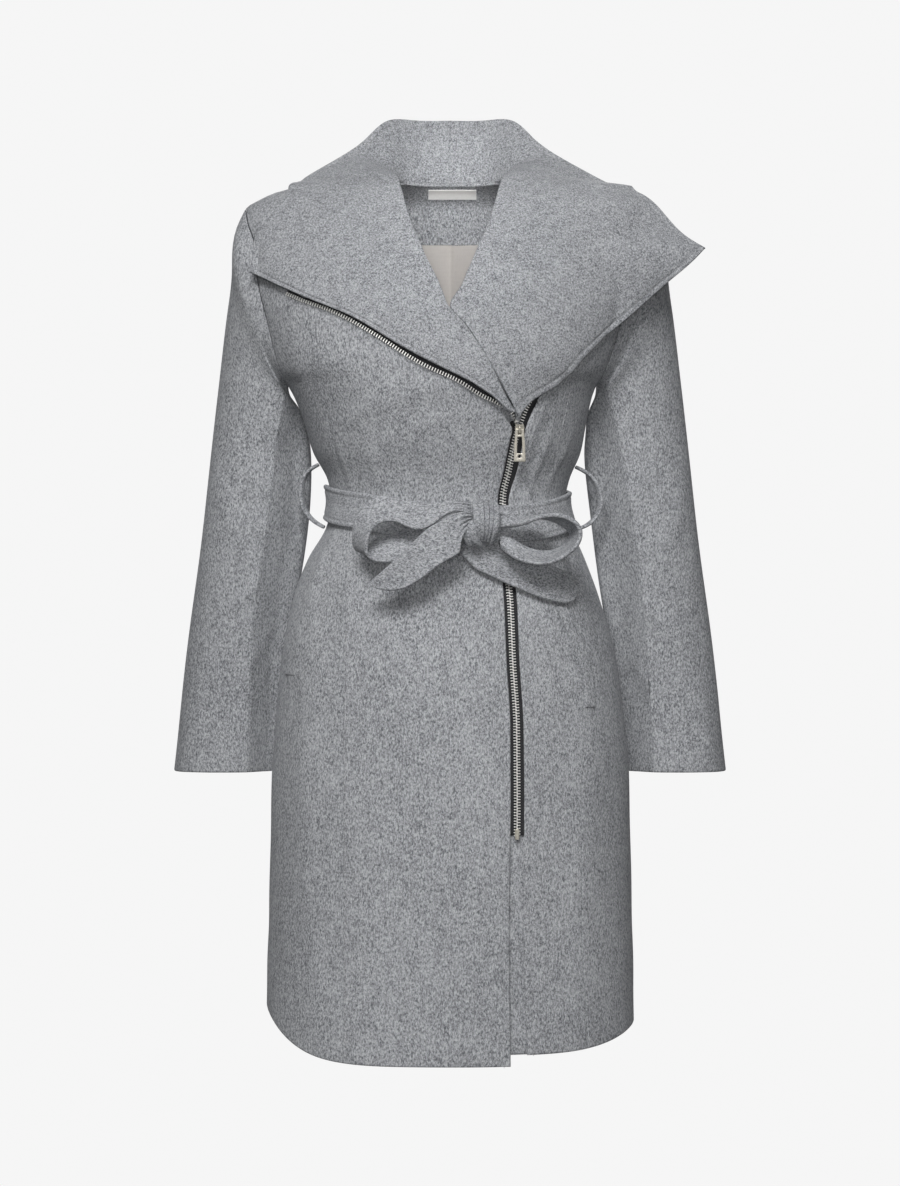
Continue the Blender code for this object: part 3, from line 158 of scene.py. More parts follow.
# Belt
BELT_HALF_WIDTH = 0.019
BELT_LINE = from_mm((  # degrees round the body, and height
    (-180, -321), (-90, -322), (-50, -331), (-15, -342), (18, -347), (50, -341), (90, -328), (180, -321),
), (0,))
BELT_STRAPS = {  # each row is x, y, z, then the direction across the strap as x, y, z, then its half width
    "right_belt_loop": from_mm((
        (20.5, -120.5, -331.5, 0, 0.14, 0.99, 7.1), (5, -125.5, -329.4, 0, 0.33, 0.94, 6.1),
        (-10.4, -127.5, -333.5, -0.18, 0.3, 0.94, 8.3), (-25.3, -129.8, -338.5, -0.19, 0.32, 0.93, 13.2),
        (-41.1, -131, -337.5, -0.22, 0.38, 0.9, 15.9), (-60.9, -131.8, -331.6, -0.3, 0.44, 0.84, 15.2),
        (-79.7, -130.5, -339.2, -0.48, 0.54, 0.69, 13.9), (-88.8, -127.3, -358, -0.59, 0.68, 0.43, 12.9),
        (-86, -120.5, -375.2, -0.44, 0.87, 0.24, 13.2), (-72.1, -116, -373.2, -0.11, 0.73, 0.68, 16.4),
        (-48.7, -116.2, -368.7, 0.05, 0.49, 0.87, 17.9), (-18.9, -115.7, -363.7, 0.06, 0.37, 0.93, 15.6),
        (6, -114.3, -355.3, 0, 0.27, 0.96, 10.4), (20.5, -114, -349.3, 0, 0.14, 0.99, 7.1),
    ), (3, 4, 5)),
    "left_belt_loop": from_mm((
        (49.7, -120.7, -343.5, 0.01, 0.37, 0.93, 7.5), (56.6, -120.5, -344.4, 0.01, 0.86, 0.52, 9.9),
        (70.1, -119.2, -344.2, 0.06, 0.97, 0.22, 13.6), (87, -118.7, -340.2, 0.06, 1, 0.04, 15.8),
        (102.9, -119, -340, -0.06, 0.99, -0.13, 16.2), (116.3, -118.5, -344.9, -0.2, 0.96, -0.18, 17.1),
        (124.5, -118.5, -354.1, -0.27, 0.96, -0.08, 17.2), (122.7, -118.5, -364.3, -0.25, 0.96, 0.07, 17.1),
        (114.8, -118.5, -372.2, -0.17, 0.97, 0.19, 17.1), (101.9, -119.5, -378.5, -0.06, 0.94, 0.33, 16.4),
        (86.4, -121.5, -379.7, 0.02, 0.9, 0.44, 15), (69, -122.2, -374, 0.05, 0.82, 0.57, 13.7),
        (58.6, -121, -367.8, 0.1, 0.72, 0.68, 11.1), (49.7, -117.5, -362.8, 0.01, 0.57, 0.82, 7.9),
    ), (3, 4, 5)),
    "right_belt_tail": from_mm((
        (21.2, -128, -341.6, 0, 0, 1, 5), (11.9, -136.5, -346.8, -0.08, 0.04, 1, 11.9),
        (3, -139.3, -357.7, -0.32, 0.04, 0.95, 18.8), (-10.4, -142, -365.6, -0.34, 0.05, 0.94, 18.9),
        (-30.1, -143, -381.4, -0.49, 0.06, 0.87, 17.1), (-50.9, -140.5, -398.2, -0.58, 0.03, 0.82, 14.5),
        (-73.2, -135.5, -413.5, -0.69, 0.04, 0.73, 11.6),
    ), (3, 4, 5)),
}
LEFT_TAIL = from_mm((  # x, z, how far it is raised off the body, and half width
    (14, -371.5, 7, 7.5), (22, -375.8, 6.8, 10.5), (32, -380.3, 6, 14.6), (57.5, -390.5, 4.5, 16),
    (86.2, -402, 4, 17), (113, -412.5, 4, 15), (123.5, -415.5, 4, 13),
))
RIGHT_CARRIER = from_mm((  # x and z, down each side of the coat
    (-134.9, -283), (-145.5, -290), (-151.5, -303), (-152, -319), (-147, -333), (-137, -343),
    (-129.2, -347.5),
))
LEFT_CARRIER = from_mm((
    (128.9, -285.5), (141, -292), (151, -305), (154.5, -320), (151, -334.5), (141, -345), (129, -350),
))
CARRIER_Y, CARRIER_HALF_WIDTH, CARRIER_THICK = -0.0085, 0.0040, 0.0035

# Zip: tapes and rows of teeth lie between the two front edges, and part above the slider
TAPE = 0.0008
TEETH_TOP, TEETH_BOTTOM = -0.0008, -0.0040
TEETH_WIDTH, TAPE_WIDTH = 0.0028, 0.0090
OPEN_ZIP_LIFT = 0.0010  # keeps the opened half clear of the cloth's folds
TAPE_NEAR, TAPE_LEVEL, TURNED_TAPE_LEVEL = 0.0003, -0.0039, -0.0004  # the tapes go on under the teeth
UNDERLAP_TOP, UNDERLAP_SEAM = -0.0060, 0.010
ZIP_END_Z, SLIDER_Z = -0.656, -0.2510
RIGHT_OPEN_ZIP = from_mm((  # x, z, how far it is raised, degrees it has turned over, and its share of tape
    (68.8, -244, 0, 0, 0.35), (66, -240.5, 2.2, 60, 0.12), (62, -236.5, 3.2, 120, 0.12),
    (56.5, -232.5, 1.8, 180, 0.25), (46, -226.5, 0.2, 180, 0.6), (30, -219, 0.2, 180, 1),
    (10, -207, 0.2, 180, 1), (-29, -188.5, 0.2, 180, 1), (-77, -157.8, 0.2, 180, 1),
    (-114, -136.2, 0.2, 180, 1), (-145, -123.5, 0.2, 180, 1), (-163, -115, 0.2, 180, 1),
), (3, 4))
LEFT_OPEN_ZIP = from_mm((
    (71.2, -244, 0, 0, 1), (75.5, -233, 0, 0, 1), (84.5, -213, 0, 0, 1), (88.5, -182, -0.4, 0, 1),
    (81.5, -133, -0.7, 0, 1), (74.5, -100, -0.7, 0, 1),
), (3, 4))
STOP_WIDTH, STOP_HALF_HEIGHT, STOP_THICK = 0.0044, 0.0053, 0.0030
STOP_BELOW, STOP_ABOVE = 0.0042, 0.0065  # about how far the clamp reaches below and above the zip's end

# Slider and its pull
SLIDER_TOP_WIDTH, SLIDER_LOW_WIDTH, SLIDER_HEIGHT, SLIDER_THICK = 0.0098, 0.0072, 0.0125, 0.0022
SLIDER_RAISED, RAIL_THICK = 0.0008, 0.0026
BAIL_WIDTH, BAIL_HEIGHT, BAIL_RISE, BAIL_WIRE, BAIL_STEPS = 0.0020, 0.0086, 0.0038, 0.0012, 30
PULL_PLAY = 0.0004
PULL_LENGTH, PULL_TOP_WIDTH, PULL_LOW_WIDTH, PULL_THICK = 0.0325, 0.0088, 0.0120, 0.0014
PULL_EYE_WIDTH, PULL_EYE_HEIGHT, PULL_BAR = 0.0034, 0.0042, 0.0014
PULL_SLOT_WIDTH, PULL_SLOT_HEIGHT, PULL_SLOT_Z = 0.0044, 0.0165, -0.0152
PULL_HOLE_RADIUS, PULL_HOLE_Z = 0.0016, -0.0265
METAL_SHARP_DEG, METAL_BEVEL = 42, 0.0003
SLIDER_ROUNDED, RAIL_ROUNDED, PULL_ROUNDED, EYE_ROUNDED, SLOT_ROUNDED = 0.0016, 0.0004, 0.0014, 0.0007, 0.0011

# Side pockets: x and z down each mouth, and the strip that faces it
RIGHT_POCKET = from_mm(((-137, -383), (-151, -415), (-162, -455), (-166.5, -498)))
LEFT_POCKET = from_mm(((115, -425), (133, -465), (143, -500), (145, -530)))
POCKET_WIDTH, POCKET_THICK, POCKET_GAP = 0.011, 0.0016, 0.0005
# The sunken slit and the raised lip in front of it: how far outwards, half width and height
POCKET_SLIT, POCKET_LIP = (0.0005, 0.0022, -0.0016), (-0.009, 0.0075, 0.0022)
POCKET_PAST, POCKET_FADE = 0.012, 0.02  # how far they run on past the mouth's ends, and fade out over

SIGNS = {"right": -1, "left": 1}  # of x, on each side


def unit(vectors):
    return vectors / np.linalg.norm(vectors, axis=-1, keepdims=True)


def mix(start, end, share):
    return start * (1 - share) + end * share


def squared(wave, power):
    """A sine or cosine raised to a power, with its sign kept: the lower the power, the squarer the curve."""
    return np.sign(wave) * np.abs(wave) ** power


def wrapped(angle):
    """The same angle between minus and plus half a turn."""
    return np.remainder(angle + math.pi, 2 * math.pi) - math.pi


def smooth_curve(places, values):
    """A smooth curve through the points that never overshoots them, as a function of an array of places."""
    places, values = np.asarray(places, float), np.asarray(values, float)
    steps = np.diff(places)
    slopes = np.diff(values) / steps
    bends = np.concatenate([slopes[:1], np.zeros(len(places) - 2), slopes[-1:]])
    for i in range(1, len(places) - 1):
        if slopes[i - 1] * slopes[i] > 0:
            before, after = 2 * steps[i] + steps[i - 1], steps[i] + 2 * steps[i - 1]
            bends[i] = (before + after) / (before / slopes[i - 1] + after / slopes[i])

    def at(place):
        i = np.clip(np.searchsorted(places, place) - 1, 0, len(steps) - 1)
        t = np.clip((place - places[i]) / steps[i], 0.0, 1.0)
        rise = values[i] * (1 + 2 * t) * (1 - t) ** 2 + values[i + 1] * t * t * (3 - 2 * t)
        return rise + steps[i] * (bends[i] * t * (1 - t) ** 2 - bends[i + 1] * t * t * (1 - t))

    return at


def curves(names, rows):
    """One smooth curve per column of a table, each a function of the first column."""
    columns = np.array(rows).T
    return {name: smooth_curve(columns[0], values) for name, values in zip(names[1:], columns[1:])}


BODY = curves(BODY_COLUMNS, BODY_SECTIONS)
ARM = curves(ARMHOLE_COLUMNS, ARMHOLE)
FRONT = curves(FRONT_COLUMNS, FRONT_LINES)
BELT_Z = smooth_curve(*zip(*BELT_LINE))


def body_width(side, z):
    """Half widths of the body form: its right half's where side is negative, else its left half's."""
    return np.where(side < 0, BODY["right"](z), BODY["left"](z))


def body_depth(in_front, z):
    return np.where(in_front, BODY["front"](z), BODY["back"](z))


def body_share(point):
    """Says how far out points lie: 0 on the body form, positive outside it, negative inside."""
    x, y, z = np.moveaxis(point, -1, 0)
    y = y - BODY["mid"](z)
    across, deep = np.abs(x) / body_width(x, z), np.abs(y) / body_depth(y < 0, z)
    return 1 - (across ** SECTION_POWER + deep ** SECTION_POWER) ** (-1 / SECTION_POWER)


def body_normal(point):
    """Unit normals of the body form, pointing out, and how fast the share grows along them."""
    step = 1e-4
    around = [body_share(point + offset) - body_share(point - offset) for offset in np.eye(3) * step]
    slope = np.stack(around, axis=-1) / (2 * step)
    steepness = np.linalg.norm(slope, axis=-1, keepdims=True)
    return slope / steepness, steepness[..., 0]


def body(angle, z, out=0.0):
    """Points on the body form at an angle from straight front, positive to the wearer's left, moved out."""
    angle, z = np.broadcast_arrays(np.asarray(angle, float), np.asarray(z, float))
    sine, cosine = np.sin(angle), np.cos(angle)
    x = body_width(sine, z) * squared(sine, 2 / SECTION_POWER)
    y = BODY["mid"](z) - body_depth(cosine > 0, z) * squared(cosine, 2 / SECTION_POWER)
    point = np.stack([x, y, z], axis=-1)
    return point + np.asarray(out)[..., None] * body_normal(point)[0]


def angle_at(x, z, behind=False):
    """The angle at which the body form has this x, on its front or its back."""
    share = np.clip(np.abs(x) / body_width(np.asarray(x), z), 0.0, 1.0) ** (SECTION_POWER / 2)
    angle = np.arcsin(share)
    return np.sign(x) * np.where(behind, math.pi - angle, angle)


def front_point(x, z, out):
    return body(angle_at(x, z), z, out)


def smoothstep(value):
    value = np.clip(value, 0.0, 1.0)
    return value * value * (3 - 2 * value)


def raise_hem(points, shorter=0.0):
    """Curves the hem up towards the side seams, and shortens one front by a little."""
    x, z = points[..., 0], points[..., 2]
    side = np.clip(np.abs(x) / body_width(x, z), 0.0, 1.0) ** HEM_RISE_POWER
    rise = np.where(x < 0, HEM_SIDE_RISE["right"], HEM_SIDE_RISE["left"]) * side
    low = smoothstep((HEM_RISE_FROM_Z - z) / (HEM_RISE_FROM_Z - HEM_Z))
    raised = points.copy()
    raised[..., 2] += low * (rise + shorter * (1 - side))
    return raised


# How the cloth grids are spaced, and how their edges are finished
STEP = 0.0045  # between the lines of a grid
RIM_LINES = (0.0, 0.0004, 0.0010, 0.0018, 0.0028)  # extra lines by each edge, where it is rounded
STITCH_LINES = (0.0042, 0.0054, 0.0066, 0.0078, 0.0090, 0.0105)  # and round a row of stitches
ROOM = 2.5  # a piece narrower than this many times its edge lines has them closer together
SEWN = (0.0014, 0.62)  # rounding at a seam: its radius, and the share of the thickness left at the edge
TURNED = (0.0022, 0.06)  # at a folded edge
CUT = (0.0005, 0.60)
BORDERS = ("first_row", "last_row", "first_column", "last_column")
SIDES_SEWN = dict.fromkeys(BORDERS[2:], SEWN)
SIDES_TURNED = dict.fromkeys(BORDERS[2:], TURNED)

FOLD_RADIUS = 0.150  # turns an angle round the body into a distance
FOLDS_TOP_Z, FOLDS_FADE = -0.12, 0.06  # the folds fade out below this height
WAVE, COLLAR_WAVE = 0.0005, 0.0007  # how far the cloth waves in and out everywhere
# Soft folds of the body: degrees round it, height, lean in degrees, half length, half width and how far out
FOLDS = from_mm((
    # above the belt
    (-52, -292, 8, 30, 8.5, 1.4), (-33, -288, -4, 34, 7.5, 1.3), (-20, -285, -10, 36, 8, 1.6),
    (-8, -292, -14, 30, 7, 1.3), (8, -290, -16, 34, 8, 1.2), (42, -287, 14, 36, 8.5, 1.6),
    (58, -280, 24, 34, 9, 1.4),
    # the bodice, from the bust to the zip
    (-22, -226, 74, 70, 11, 1.3), (-10, -250, 66, 60, 12, 1.1), (36, -245, 18, 50, 10, 1.4),
    (-58, -190, 30, 50, 13, 1.2),
    # below the belt
    (-60, -395, -14, 45, 12, 1.4), (-38, -405, -8, 55, 13, 1.6), (-12, -410, -2, 50, 12, 1.2),
    (12, -415, 4, 60, 13, 1.4), (40, -405, 8, 50, 12, 1.4), (62, -400, 16, 45, 12, 1.3),
    # long falls in the skirt
    (-50, -640, -3, 200, 26, 2.2), (-22, -700, 1, 180, 30, 1.8), (6, -720, 0, 160, 26, 1.5),
    (44, -660, 3, 200, 28, 2.2),
    # the back
    (-140, -290, 8, 34, 9, 1.6), (-160, -286, 4, 36, 8.5, 1.4), (168, -292, -6, 30, 8, 1.4),
    (142, -286, -8, 36, 9, 1.6), (-130, -235, 60, 60, 13, 1.4), (132, -240, -58, 58, 13, 1.5),
    (-150, -400, -6, 55, 13, 1.5), (174, -405, 0, 50, 13, 1.3), (146, -400, 8, 55, 13, 1.5),
    (-138, -660, -3, 200, 30, 2.4), (-168, -700, 1, 190, 28, 1.8), (160, -690, -1, 190, 30, 2),
    (130, -640, 3, 190, 28, 2.2), (-115, -600, -5, 160, 24, 1.8), (112, -610, 5, 160, 24, 1.8),
), (0, 2))
# Folds of each sleeve: degrees round it, with 0 on its inner side and 90 at its front, the way down from its
# head, lean in degrees, half length, half width and how far out
SLEEVE_FOLDS = from_mm((
    ("right", 62, 150, 48, 40, 9, 1.8), ("right", 78, 215, 40, 48, 10, 2),
    ("right", 60, 262, 58, 40, 9, 1.9), ("right", 84, 318, -38, 50, 11, 1.8),
    ("right", 110, 250, 30, 55, 13, 1.4), ("right", 130, 440, -12, 80, 16, 1.4),
    ("left", 58, 160, 44, 42, 9, 1.8), ("left", 74, 228, 36, 50, 10, 2.1), ("left", 66, 290, 52, 46, 10, 2),
    ("left", 92, 352, -44, 60, 13, 2.4), ("left", 112, 262, 26, 55, 13, 1.4),
    ("left", 126, 455, -10, 80, 16, 1.4), ("right", 285, 200, -40, 50, 11, 2),
    ("right", 300, 270, -34, 46, 10, 2.2), ("right", 280, 340, 30, 50, 12, 1.8),
    ("left", 290, 210, -42, 50, 11, 2), ("left", 298, 282, -30, 48, 10, 2.2),
    ("left", 276, 350, 34, 50, 12, 1.8),
), (0, 1, 3))


def flowing_curve(places, values):
    """A natural cubic curve through rows of values, as a function of an array of places."""
    places, values = np.asarray(places, float), np.asarray(values, float)
    steps = np.diff(places)
    slopes = np.diff(values, axis=0) / steps[:, None]
    system, pull = np.eye(len(places)), np.zeros_like(values)
    for i in range(1, len(places) - 1):
        system[i, i - 1:i + 2] = steps[i - 1], 2 * (steps[i - 1] + steps[i]), steps[i]
        pull[i] = 6 * (slopes[i] - slopes[i - 1])
    bends = np.linalg.solve(system, pull)

    def at(place):
        i = np.clip(np.searchsorted(places, place) - 1, 0, len(steps) - 1)
        step = steps[i][:, None]
        after = (np.asarray(place) - places[i])[:, None]
        before = step - after
        cubic = (bends[i] * before ** 3 + bends[i + 1] * after ** 3) / (6 * step)
        start = values[i] / step - bends[i] * step / 6
        end = values[i + 1] / step - bends[i + 1] * step / 6
        return cubic + start * before + end * after

    return at


def lengths(points):
    """The distance along a line of points from its first."""
    return np.concatenate([[0.0], np.cumsum(np.linalg.norm(np.diff(points, axis=0), axis=-1))])


def spaced(length, step=STEP, stitched=False):
    """For each length, shares of it from 0 to 1, closer together near both ends."""
    length = np.maximum(np.atleast_1d(np.asarray(length, float)).reshape(-1, 1), 1e-5)
    close = np.array(RIM_LINES + (STITCH_LINES if stitched else ()))
    close = close[None, :] * np.minimum(1.0, length / (ROOM * 2 * close[-1]))
    first = close / length
    last = 1 - first[:, ::-1]
    count = max(2, math.ceil((length.max() - 2 * close.max()) / step))
    between = np.linspace(0.0, 1.0, count + 1)[None, 1:-1]
    return np.concatenate([first, first[:, -1:] * (1 - between) + last[:, :1] * between, last], axis=1)


def stretch(low, high, step=STEP):
    """Places from one end to the other, closer together near both."""
    return low + (high - low) * spaced(high - low, step)[0]


def fold(across, up, lean, half_length, half_width, height):
    """A soft ridge that leans by some degrees, with a shallow hollow on both sides of it."""
    sine, cosine = math.sin(math.radians(lean)), math.cos(math.radians(lean))
    along, across = up * cosine + across * sine, across * cosine - up * sine
    t = (across / half_width) ** 2
    return height * np.exp(-(along / half_length) ** 2) * (1 - 0.7 * t) * np.exp(-t)


def folds(angle, z):
    """How far the body's cloth stands out at its folds."""
    out = WAVE * np.sin(38 * z + 5 * angle) * np.sin(3 * angle + 21 * z + 1.0)
    for at, height, *sizes in FOLDS:
        out = out + fold(wrapped(angle - math.radians(at)) * FOLD_RADIUS, z - height, *sizes)
    return out * smoothstep((FOLDS_TOP_Z - z) / FOLDS_FADE)


def grid_lengths(grid):
    """The distance of every point of a grid from each of its borders, along the grid's lines."""
    along = np.zeros(grid.shape[:2])
    across = np.zeros(grid.shape[:2])
    along[1:] = np.cumsum(np.linalg.norm(np.diff(grid, axis=0), axis=-1), axis=0)
    across[:, 1:] = np.cumsum(np.linalg.norm(np.diff(grid, axis=1), axis=-1), axis=1)
    return dict(zip(BORDERS, (along, along[-1:] - along, across, across[:, -1:] - across)))


def cloth(name, outer, inner, finish, rims, grooves=(), ring=False):
    """A closed wall between two grids of points, with finished borders, rows of stitches and a UV map."""
    away = grid_lengths(outer)
    middle, half = (outer + inner) / 2, (outer - inner) / 2
    facing = half / np.maximum(np.linalg.norm(half, axis=-1, keepdims=True), 1e-9)
    thick = np.ones(outer.shape[:2])
    for border, (radius, left) in rims.items():
        near = np.clip(away[border] / radius, 0.0, 1.0)
        thick = np.minimum(thick, left + (1 - left) * np.sqrt(1 - (1 - near) ** 2))
    sunk = np.zeros(outer.shape[:2])
    for border, distance, width, depth in grooves:
        room = np.minimum(1.0, (away["first_column"] + away["last_column"]) / (3 * distance)) ** 4
        sunk += room * depth * np.exp(-((away[border] - distance) / width) ** 2)
    outer = middle + half * thick[..., None] - facing * sunk[..., None]
    inner = middle - half * thick[..., None]
    rows, columns = outer.shape[:2]
    spans = columns if ring else columns - 1
    row, column = np.meshgrid(np.arange(rows - 1), np.arange(spans), indexing="ij")

    def corner(r, c, side):
        return (side * rows * columns + r * columns + c % columns).reshape(-1)

    corners = [(row, column), (row, column + 1), (row + 1, column + 1), (row + 1, column)]
    quads = [[(r, c, 0) for r, c in corners], [(r, c, 1) for r, c in reversed(corners)]]
    line, low = np.arange(spans), np.zeros(spans, int)
    top = low + rows - 1
    quads.append([(low, line + 1, 0), (low, line, 0), (low, line, 1), (low, line + 1, 1)])
    quads.append([(top, line, 0), (top, line + 1, 0), (top, line + 1, 1), (top, line, 1)])
    if not ring:
        line, low = np.arange(rows - 1), np.zeros(rows - 1, int)
        side = low + columns - 1
        quads.append([(line, low, 0), (line + 1, low, 0), (line + 1, low, 1), (line, low, 1)])
        quads.append([(line + 1, side, 0), (line, side, 0), (line, side, 1), (line + 1, side, 1)])
    across = np.concatenate([away["first_column"], away["first_column"][:, -1:] + STEP], axis=1)
    faces, places = [], []
    for quad in quads:
        faces.append(np.stack([corner(*point) for point in quad], axis=1))
        maps = [np.stack([across[r, c], away["first_row"][r, c % columns]], axis=-1) for r, c, _ in quad]
        places.append(np.stack([place.reshape(-1, 2) for place in maps], axis=1))
    mesh = bpy.data.meshes.new(name)
    mesh.from_pydata(np.concatenate([outer.reshape(-1, 3), inner.reshape(-1, 3)]).tolist(), [],
                     np.concatenate(faces).tolist())
    layer = mesh.uv_layers.new(name="cloth")
    layer.data.foreach_set("uv", np.concatenate(places).astype(np.float32).ravel())
    if volume_of(mesh) < 0:
        mesh.flip_normals()
    mesh.shade_smooth()
    for border, distance, _, _ in grooves:
        STITCH_LINES_MADE.append(stitch_line(outer, facing, away, border, distance, ring))
    widths, heights = away["last_column"][:, 0], away["last_row"][0]
    if ring:
        widths = widths + np.linalg.norm(middle[:, -1] - middle[:, 0], axis=-1)
    CUTS_MADE[name] = (widths.max(), heights.max(), surface_of(middle, ring))
    new_piece(name, mesh, finish)


def volume_of(mesh):
    """Six times the volume inside a closed mesh of quads, negative if its faces point inwards."""
    points = np.empty(len(mesh.vertices) * 3, np.float32)
    mesh.vertices.foreach_get("co", points)
    points = points.reshape(-1, 3).astype(float)
    corners = np.array([polygon.vertices[:] for polygon in mesh.polygons])
    a, b, c, d = (points[corners[:, i]] for i in range(4))
    return (np.cross(a, b) * c).sum() + (np.cross(a, c) * d).sum()


def stitch_line(outer, facing, away, border, distance, ring):
    """The points of a row of stitches at a distance from a border of a grid, and the directions they face."""
    if border.endswith("row"):
        outer, facing = outer.transpose(1, 0, 2), facing.transpose(1, 0, 2)
        away = {"first_column": away["first_row"].T, "last_column": away["last_row"].T}
        border = border.replace("row", "column")
    points, ups = [], []
    for i in range(len(outer)):
        off = away[border][i]
        if off.max() < 3 * distance:
            continue
        order = np.argsort(off)
        off = off[order]
        points.append([np.interp(distance, off, outer[i, order, axis]) for axis in range(3)])
        ups.append([np.interp(distance, off, facing[i, order, axis]) for axis in range(3)])
    if ring:
        points.append(points[0])
        ups.append(ups[0])
    return np.array(points), np.array(ups)


def surface_of(grid, ring):
    """The area of a grid of points."""
    if ring:
        grid = np.concatenate([grid, grid[:, :1]], axis=1)
    one, other = grid[1:, 1:] - grid[:-1, :-1], grid[1:, :-1] - grid[:-1, 1:]
    return np.linalg.norm(np.cross(one, other), axis=-1).sum() / 2


PIECES, CUTS_MADE, STITCH_LINES_MADE = {}, {}, []


def put(name, data):
    """Adds a mesh, a curve, a light or a camera to the scene."""
    obj = bpy.data.objects.new(name, data)
    bpy.context.scene.collection.objects.link(obj)
    return obj


def new_piece(name, mesh, finish, body="coat"):
    """Puts a finished mesh into the scene under the name of the part it stands for."""
    obj = put(name + "_piece", mesh)
    if not mesh.materials:
        mesh.materials.append(finish_of(finish))
    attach(obj, body)
    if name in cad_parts:
        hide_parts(name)
    PIECES[name] = obj


# How the pieces' own grids and details are laid out
ARMHOLE_LINES, SHOULDER_LINES, BAND_LINES = 56, 10, 300
# Rows of stitches: how far each is from its edge, then the half width and the depth of its groove
EDGE_STITCH = (0.0066, 0.0010, 0.0005)
COLLAR_STITCH = (0.0082, 0.0012, 0.0010)
BELT_STITCH = (0.0052, 0.0010, 0.0007)
BAND_STITCH = (0.0052, 0.0011, 0.0008)
BELT_STITCHES = (("first_column", *BELT_STITCH), ("last_column", *BELT_STITCH))
PLEAT_X, LINING_TOP_Z = 0.0030, FACING_LOW_Z - SEAM
SLEEVE_RADIUS = 0.055  # turns an angle round a sleeve into a distance
SLEEVE_SPANS = {"upper": 0.30, "under": 0.11}  # about how far each sleeve piece goes round
SLEEVE_HEAD = 0.05  # the folds fade in over this length from the sleeve's head
# Steps of the finer grids
COLLAR_STEP, COLLAR_STEP_ACROSS, BAND_STEP, STRAP_STEP = 0.0040, 0.0042, 0.0030, 0.0022
# A strap's bulge across, the depth of its gathers, and the cut of its end
LOOP_SHAPE = {"cup": 0.0010, "gathered": 0.0013}
TAIL_SHAPE = {"cup": 0.0012, "gathered": 0.0013, "cut": (0.022, 0.034)}
LEFT_TAIL_CUP, LEFT_TAIL_CUT = -0.0008, (0.008, 0.010)
# Creases of the belt's band: degrees round the body, and height
BAND_CREASES = from_mm(((-34, -330), (-20, -352), (34, -350), (48, -332), (70, -340)), (0,))
CARRIER_TURN = 0.55
KNOT_CORE = from_mm(((35.7, -118, -345.5), (12, 12, 19)))
KNOT_WRAP = from_mm((  # x, y, z, half width and half thickness
    (33, -108.5, -330, 10, 3.8), (33.8, -117, -325.8, 11.8, 4.2), (35, -126.5, -328.2, 13.2, 4.7),
    (36.2, -132, -337.5, 13.6, 5), (36.5, -133.5, -348, 12.8, 5), (35.8, -130, -358, 10.8, 4.6),
    (34.5, -122, -364.5, 9, 4.2), (33.5, -112, -364, 8, 3.8),
))
# Creases: the place across at the start and at the end, depth and half width
WRAP_CREASES = from_mm((
    (-0.8, -0.3, 3.2, 0.1), (-0.46, -0.02, 3.8, 0.12), (0.02, 0.2, 3.4, 0.11), (0.55, 0.42, 1.6, 0.12),
), (0, 1, 3))
KNOT_FOLD = from_mm((
    (30, -121, -342, 5, 3.4), (22.5, -129, -346.5, 7.5, 4.2), (19.5, -132, -355, 8.5, 4.8),
    (22, -129, -364, 8.5, 4.4), (29, -119, -368, 7, 3.6),
))
FOLD_CREASES = from_mm(((-0.45, -0.15, 2.2, 0.13), (0.2, 0.34, 2.4, 0.13)), (0, 1, 3))
NECK_SEAT = smooth_curve(*zip(*(row[:2] for row in reversed(NECK_ROWS))))


def body_rows(top=NECK_Z):
    """Heights from the hem to the neck, closer together at both ends of the armhole."""
    turn = np.linspace(0.0, math.pi, ARMHOLE_LINES + 1)[1:]
    middle, half = (UNDERARM_Z + SHOULDER_Z) / 2, (SHOULDER_Z - UNDERARM_Z) / 2
    shoulder = SHOULDER_Z + (NECK_Z - SHOULDER_Z) * np.linspace(0.0, 1.0, SHOULDER_LINES + 1)[1:]
    rows = np.concatenate([stretch(HEM_Z, UNDERARM_Z), middle - half * np.cos(turn), shoulder])
    return np.append(rows[rows < top - 1e-4], top)


def panel(name, rows, start, end, rims, finish="wool", top=0.0, thick=WOOL, shorter=0.0, grooves=(),
          step=STEP, relief=None, to_collar=False):
    """A wall on the body form. start and end give its boundary angles at each height."""
    z = rows[:, None]
    low, high = start(z), end(z)
    width = np.linalg.norm(body(high, z) - body(low, z), axis=-1) * 1.04
    share = spaced(width, step, stitched=bool(grooves))
    angle = mix(low, high, share)
    z = np.broadcast_to(z, angle.shape)
    out = folds(angle, z) + top
    if relief:
        out = out + relief(angle, z)
    outer = raise_hem(body(angle, z, out), shorter)
    inner = raise_hem(body(angle, z, out - thick), shorter)
    if to_collar:
        turned = np.degrees(np.abs(wrapped(angle)))
        near = smoothstep((turned - 88) / 6) * smoothstep((z - 0.004) / 0.010)
        rise = np.maximum(NECK_SEAT(turned) - SEAM, 0) * near
        outer[..., 2] += rise
        inner[..., 2] += rise
    cloth(name, outer, inner, finish, rims, grooves)


def side_line(side, behind):
    """The angle of the side seam, of the armhole and of the shoulder seam, as one line up one side."""
    sign = SIGNS[side]

    def at(z):
        in_armhole = (z > UNDERARM_Z) & (z < SHOULDER_Z)
        trim = SEAM / 2 / body_depth(not behind, z)
        seam = math.pi / 2 + (trim if behind else -trim)
        return np.where(in_armhole, angle_at(sign * ARM[side](z), z, behind), sign * seam)

    return at


def front_line(column, shift):
    """The angle of a seam or edge on the front, moved sideways by a trim."""
    return lambda z: angle_at(FRONT[column](z) + shift, z)


